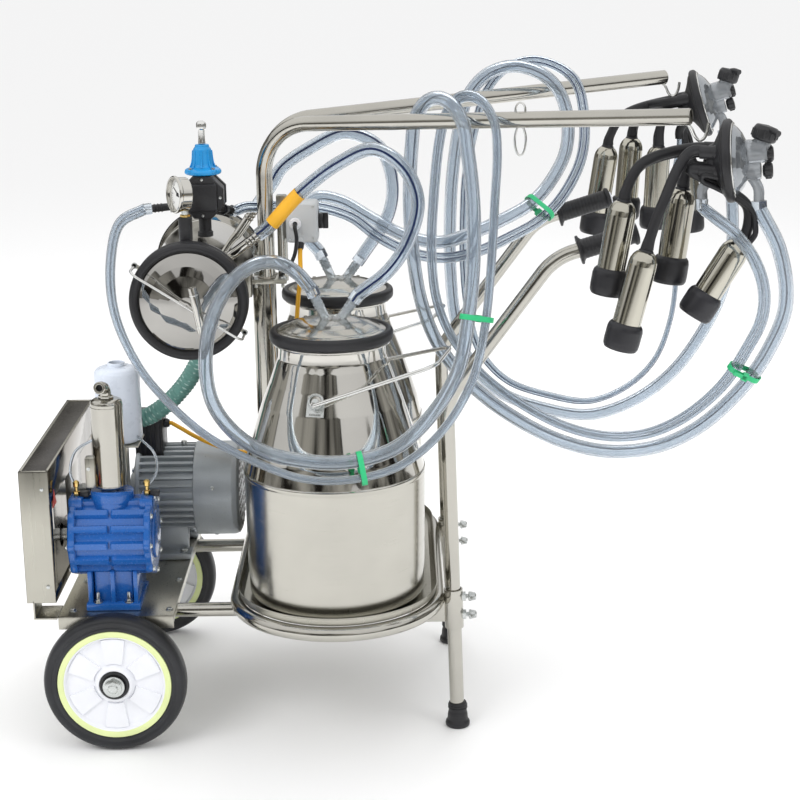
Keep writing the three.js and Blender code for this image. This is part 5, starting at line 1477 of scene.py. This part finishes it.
def band(name, one, two, spot):
    """A green strap pulled round a milk hose and the twin hose beside it."""
    a, b = nearest(PATHS[one], spot), nearest(PATHS[two], spot)
    index = int(np.argmin(np.linalg.norm(PATHS[one] - a, axis=1)))
    along = unit(PATHS[one][min(index + 1, len(PATHS[one]) - 1)] - PATHS[one][index - 1])
    apart = b - a
    apart -= along * (apart @ along)
    gap = float(np.linalg.norm(apart))
    u = unit(apart)
    v = np.cross(along, u)
    right = np.linspace(-math.pi / 2, math.pi / 2, 20)
    ring = np.array([a + u * 13.2 * math.cos(t) + v * 13.2 * math.sin(t) for t in right + math.pi]
                    + [a + u * (gap + 11.4 * math.cos(t)) + v * 11.4 * math.sin(t) for t in right])
    shape = Shape()
    count, middle = len(ring), ring.mean(0)
    points, faces = [], []
    for k, p in enumerate(ring):
        out = unit(p - middle - along * ((p - middle) @ along))
        points += [p + along * w + out * h for w, h in ((-4.5, 0), (4.5, 0), (4.5, 1.6), (-4.5, 1.6))]
        n = (k + 1) % count
        for r in range(4):
            s = (r + 1) % 4
            faces.append([4 * k + r, 4 * n + r, 4 * n + s, 4 * k + s])
    shape.add(points, faces, 0)
    knot = a + u * gap / 2 + v * 14
    shape.add(*block_at(knot, along, u, v, 6, 5, 4))
    shape.add(*block_at(a + u * (gap / 2 + 9) + v * 17, along, u, v, 3.6, 12, 1))
    shape.make("band_" + name, "frame", [CLIP], (), None, 30)


def block_at(centre, a, b, c, ra, rb, rc):
    """A block's points and faces, reaching ra, rb and rc along a, b and c."""
    signs = [(x, y, z) for x in (-1, 1) for y in (-1, 1) for z in (-1, 1)]
    points = [centre + a * x * ra + b * y * rb + c * z * rc for x, y, z in signs]
    return np.array(points), [[0, 1, 3, 2], [4, 5, 7, 6], [0, 1, 5, 4], [2, 3, 7, 6], [0, 2, 6, 4],
                              [1, 3, 7, 5]]


def bands():
    band("near_low", "milk_near", "pulse_near", (-60, -366, 555))
    band("near_upright", "milk_near", "pulse_near", (120, -253, 765))
    band("far_arch", "milk_far", "pulse_far", (245, 63, 909))
    band("near_fall", "milk_near", "pulse_near", (580, -314, 672))
    path = PATHS["vacuum_near"]
    run = run_along(path)
    sleeve = Shape().tube(path[(run > 30) & (run < 105)], 12.7, 36, 0)
    sleeve.make("yellow_sleeve", "frame", [YELLOW], (), None, 60)


base()
chassis()
for side_name, side in SIDES:
    wheel(side_name, side)
legs()
column()
posts()
buckets()
tank()
gauge()
pulsator()
pump()
rotors()
belt()
motor()
guard()
muffler()
bottle()
switch()
clusters()
bands()


def colour_ramp(nodes, *stops):
    ramp = nodes.new("ShaderNodeValToRGB")
    for element, (place, colour) in zip(ramp.color_ramp.elements, stops):
        element.position, element.color = place, colour
    return ramp


def studio():
    """Soft white surroundings, three soft lamps and a pale floor."""
    world = bpy.data.worlds.new("studio")
    bpy.context.scene.world = world
    world.use_nodes = True
    nodes, links = world.node_tree.nodes, world.node_tree.links
    place = nodes.new("ShaderNodeTexCoord")
    split = nodes.new("ShaderNodeSeparateXYZ")
    ramp = colour_ramp(nodes, (0, (0.62, 0.62, 0.63, 1)), (0.6, (1, 1, 1, 1)))
    links.new(place.outputs["Generated"], split.inputs["Vector"])
    links.new(split.outputs["Z"], ramp.inputs["Fac"])
    links.new(ramp.outputs["Color"], nodes["Background"].inputs["Color"])
    nodes["Background"].inputs["Strength"].default_value = 1.0
    bpy.context.scene.view_settings.view_transform = "Standard"
    lamps = (("key", (-2.4, -2.8, 3.2), 2.4, 60), ("fill", (2.8, -2.2, 2.0), 1.8, 24),
             ("top", (0.3, 2.2, 3.4), 2.6, 45))
    for name, where, size, energy in lamps:
        lamp = bpy.data.lights.new(name, "AREA")
        lamp.energy, lamp.size = energy, size
        holder = bpy.data.objects.new(name, lamp)
        bpy.context.scene.collection.objects.link(holder)
        holder.location = where
        holder.visible_glossy = False
        holder.rotation_mode = "QUATERNION"
        aim = vec(0, 0, 0.5) - vec(*where)
        holder.rotation_quaternion = Matrix(align(-aim).tolist()).to_quaternion()
    corners = [(90 * x, 90 * y, 0) for x, y in ((-1, -1), (1, -1), (1, 1), (-1, 1))]
    paint = material("floor_paint", (0.95, 0.95, 0.95), 0.8, 0, 0, 3, 0, Specular_IOR_Level=0)
    floor = plain_mesh("floor", corners, [[0, 1, 2, 3]], paint)
    surround()


def plain_mesh(name, points, faces, finish):
    mesh = bpy.data.meshes.new(name)
    mesh.from_pydata([tuple(p) for p in points], [], faces)
    mesh.materials.append(finish)
    made = bpy.data.objects.new(name, mesh)
    bpy.context.scene.collection.objects.link(made)
    return made


def surround():
    """A dark, uneven horizon that only reflections see, so that the polished steel has contrast."""
    finish = bpy.data.materials.new("horizon")
    finish.use_nodes = True
    nodes, links = finish.node_tree.nodes, finish.node_tree.links
    nodes.remove(nodes["Principled BSDF"])
    place = nodes.new("ShaderNodeTexCoord")
    texture = nodes.new("ShaderNodeTexNoise")
    texture.inputs["Scale"].default_value = 0.55
    texture.inputs["Detail"].default_value = 5
    ramp = colour_ramp(nodes, (0.4, (0.015, 0.014, 0.012, 1)), (0.62, (0.42, 0.41, 0.38, 1)))
    glow = nodes.new("ShaderNodeEmission")
    links.new(place.outputs["Object"], texture.inputs["Vector"])
    links.new(texture.outputs["Fac"], ramp.inputs["Fac"])
    links.new(ramp.outputs["Color"], glow.inputs["Color"])
    links.new(glow.outputs["Emission"], nodes["Material Output"].inputs["Surface"])
    points, faces, count, radius = [], [], 96, 7
    for k, angle in enumerate(spokes(count)):
        top = 3.0 + 1.5 * math.sin(3 * angle + 1) + 0.7 * math.sin(7 * angle) + 0.3 * math.sin(17 * angle)
        for height in (0.1, top):
            points.append((*circle(radius, angle), height))
        a, b = 2 * k, 2 * ((k + 1) % count)
        faces.append([a, b, b + 1, a + 1])
    ring = plain_mesh("horizon_ring", points, faces, finish)
    for use in ("camera", "diffuse", "transmission", "shadow", "volume_scatter"):
        setattr(ring, "visible_" + use, False)


studio()
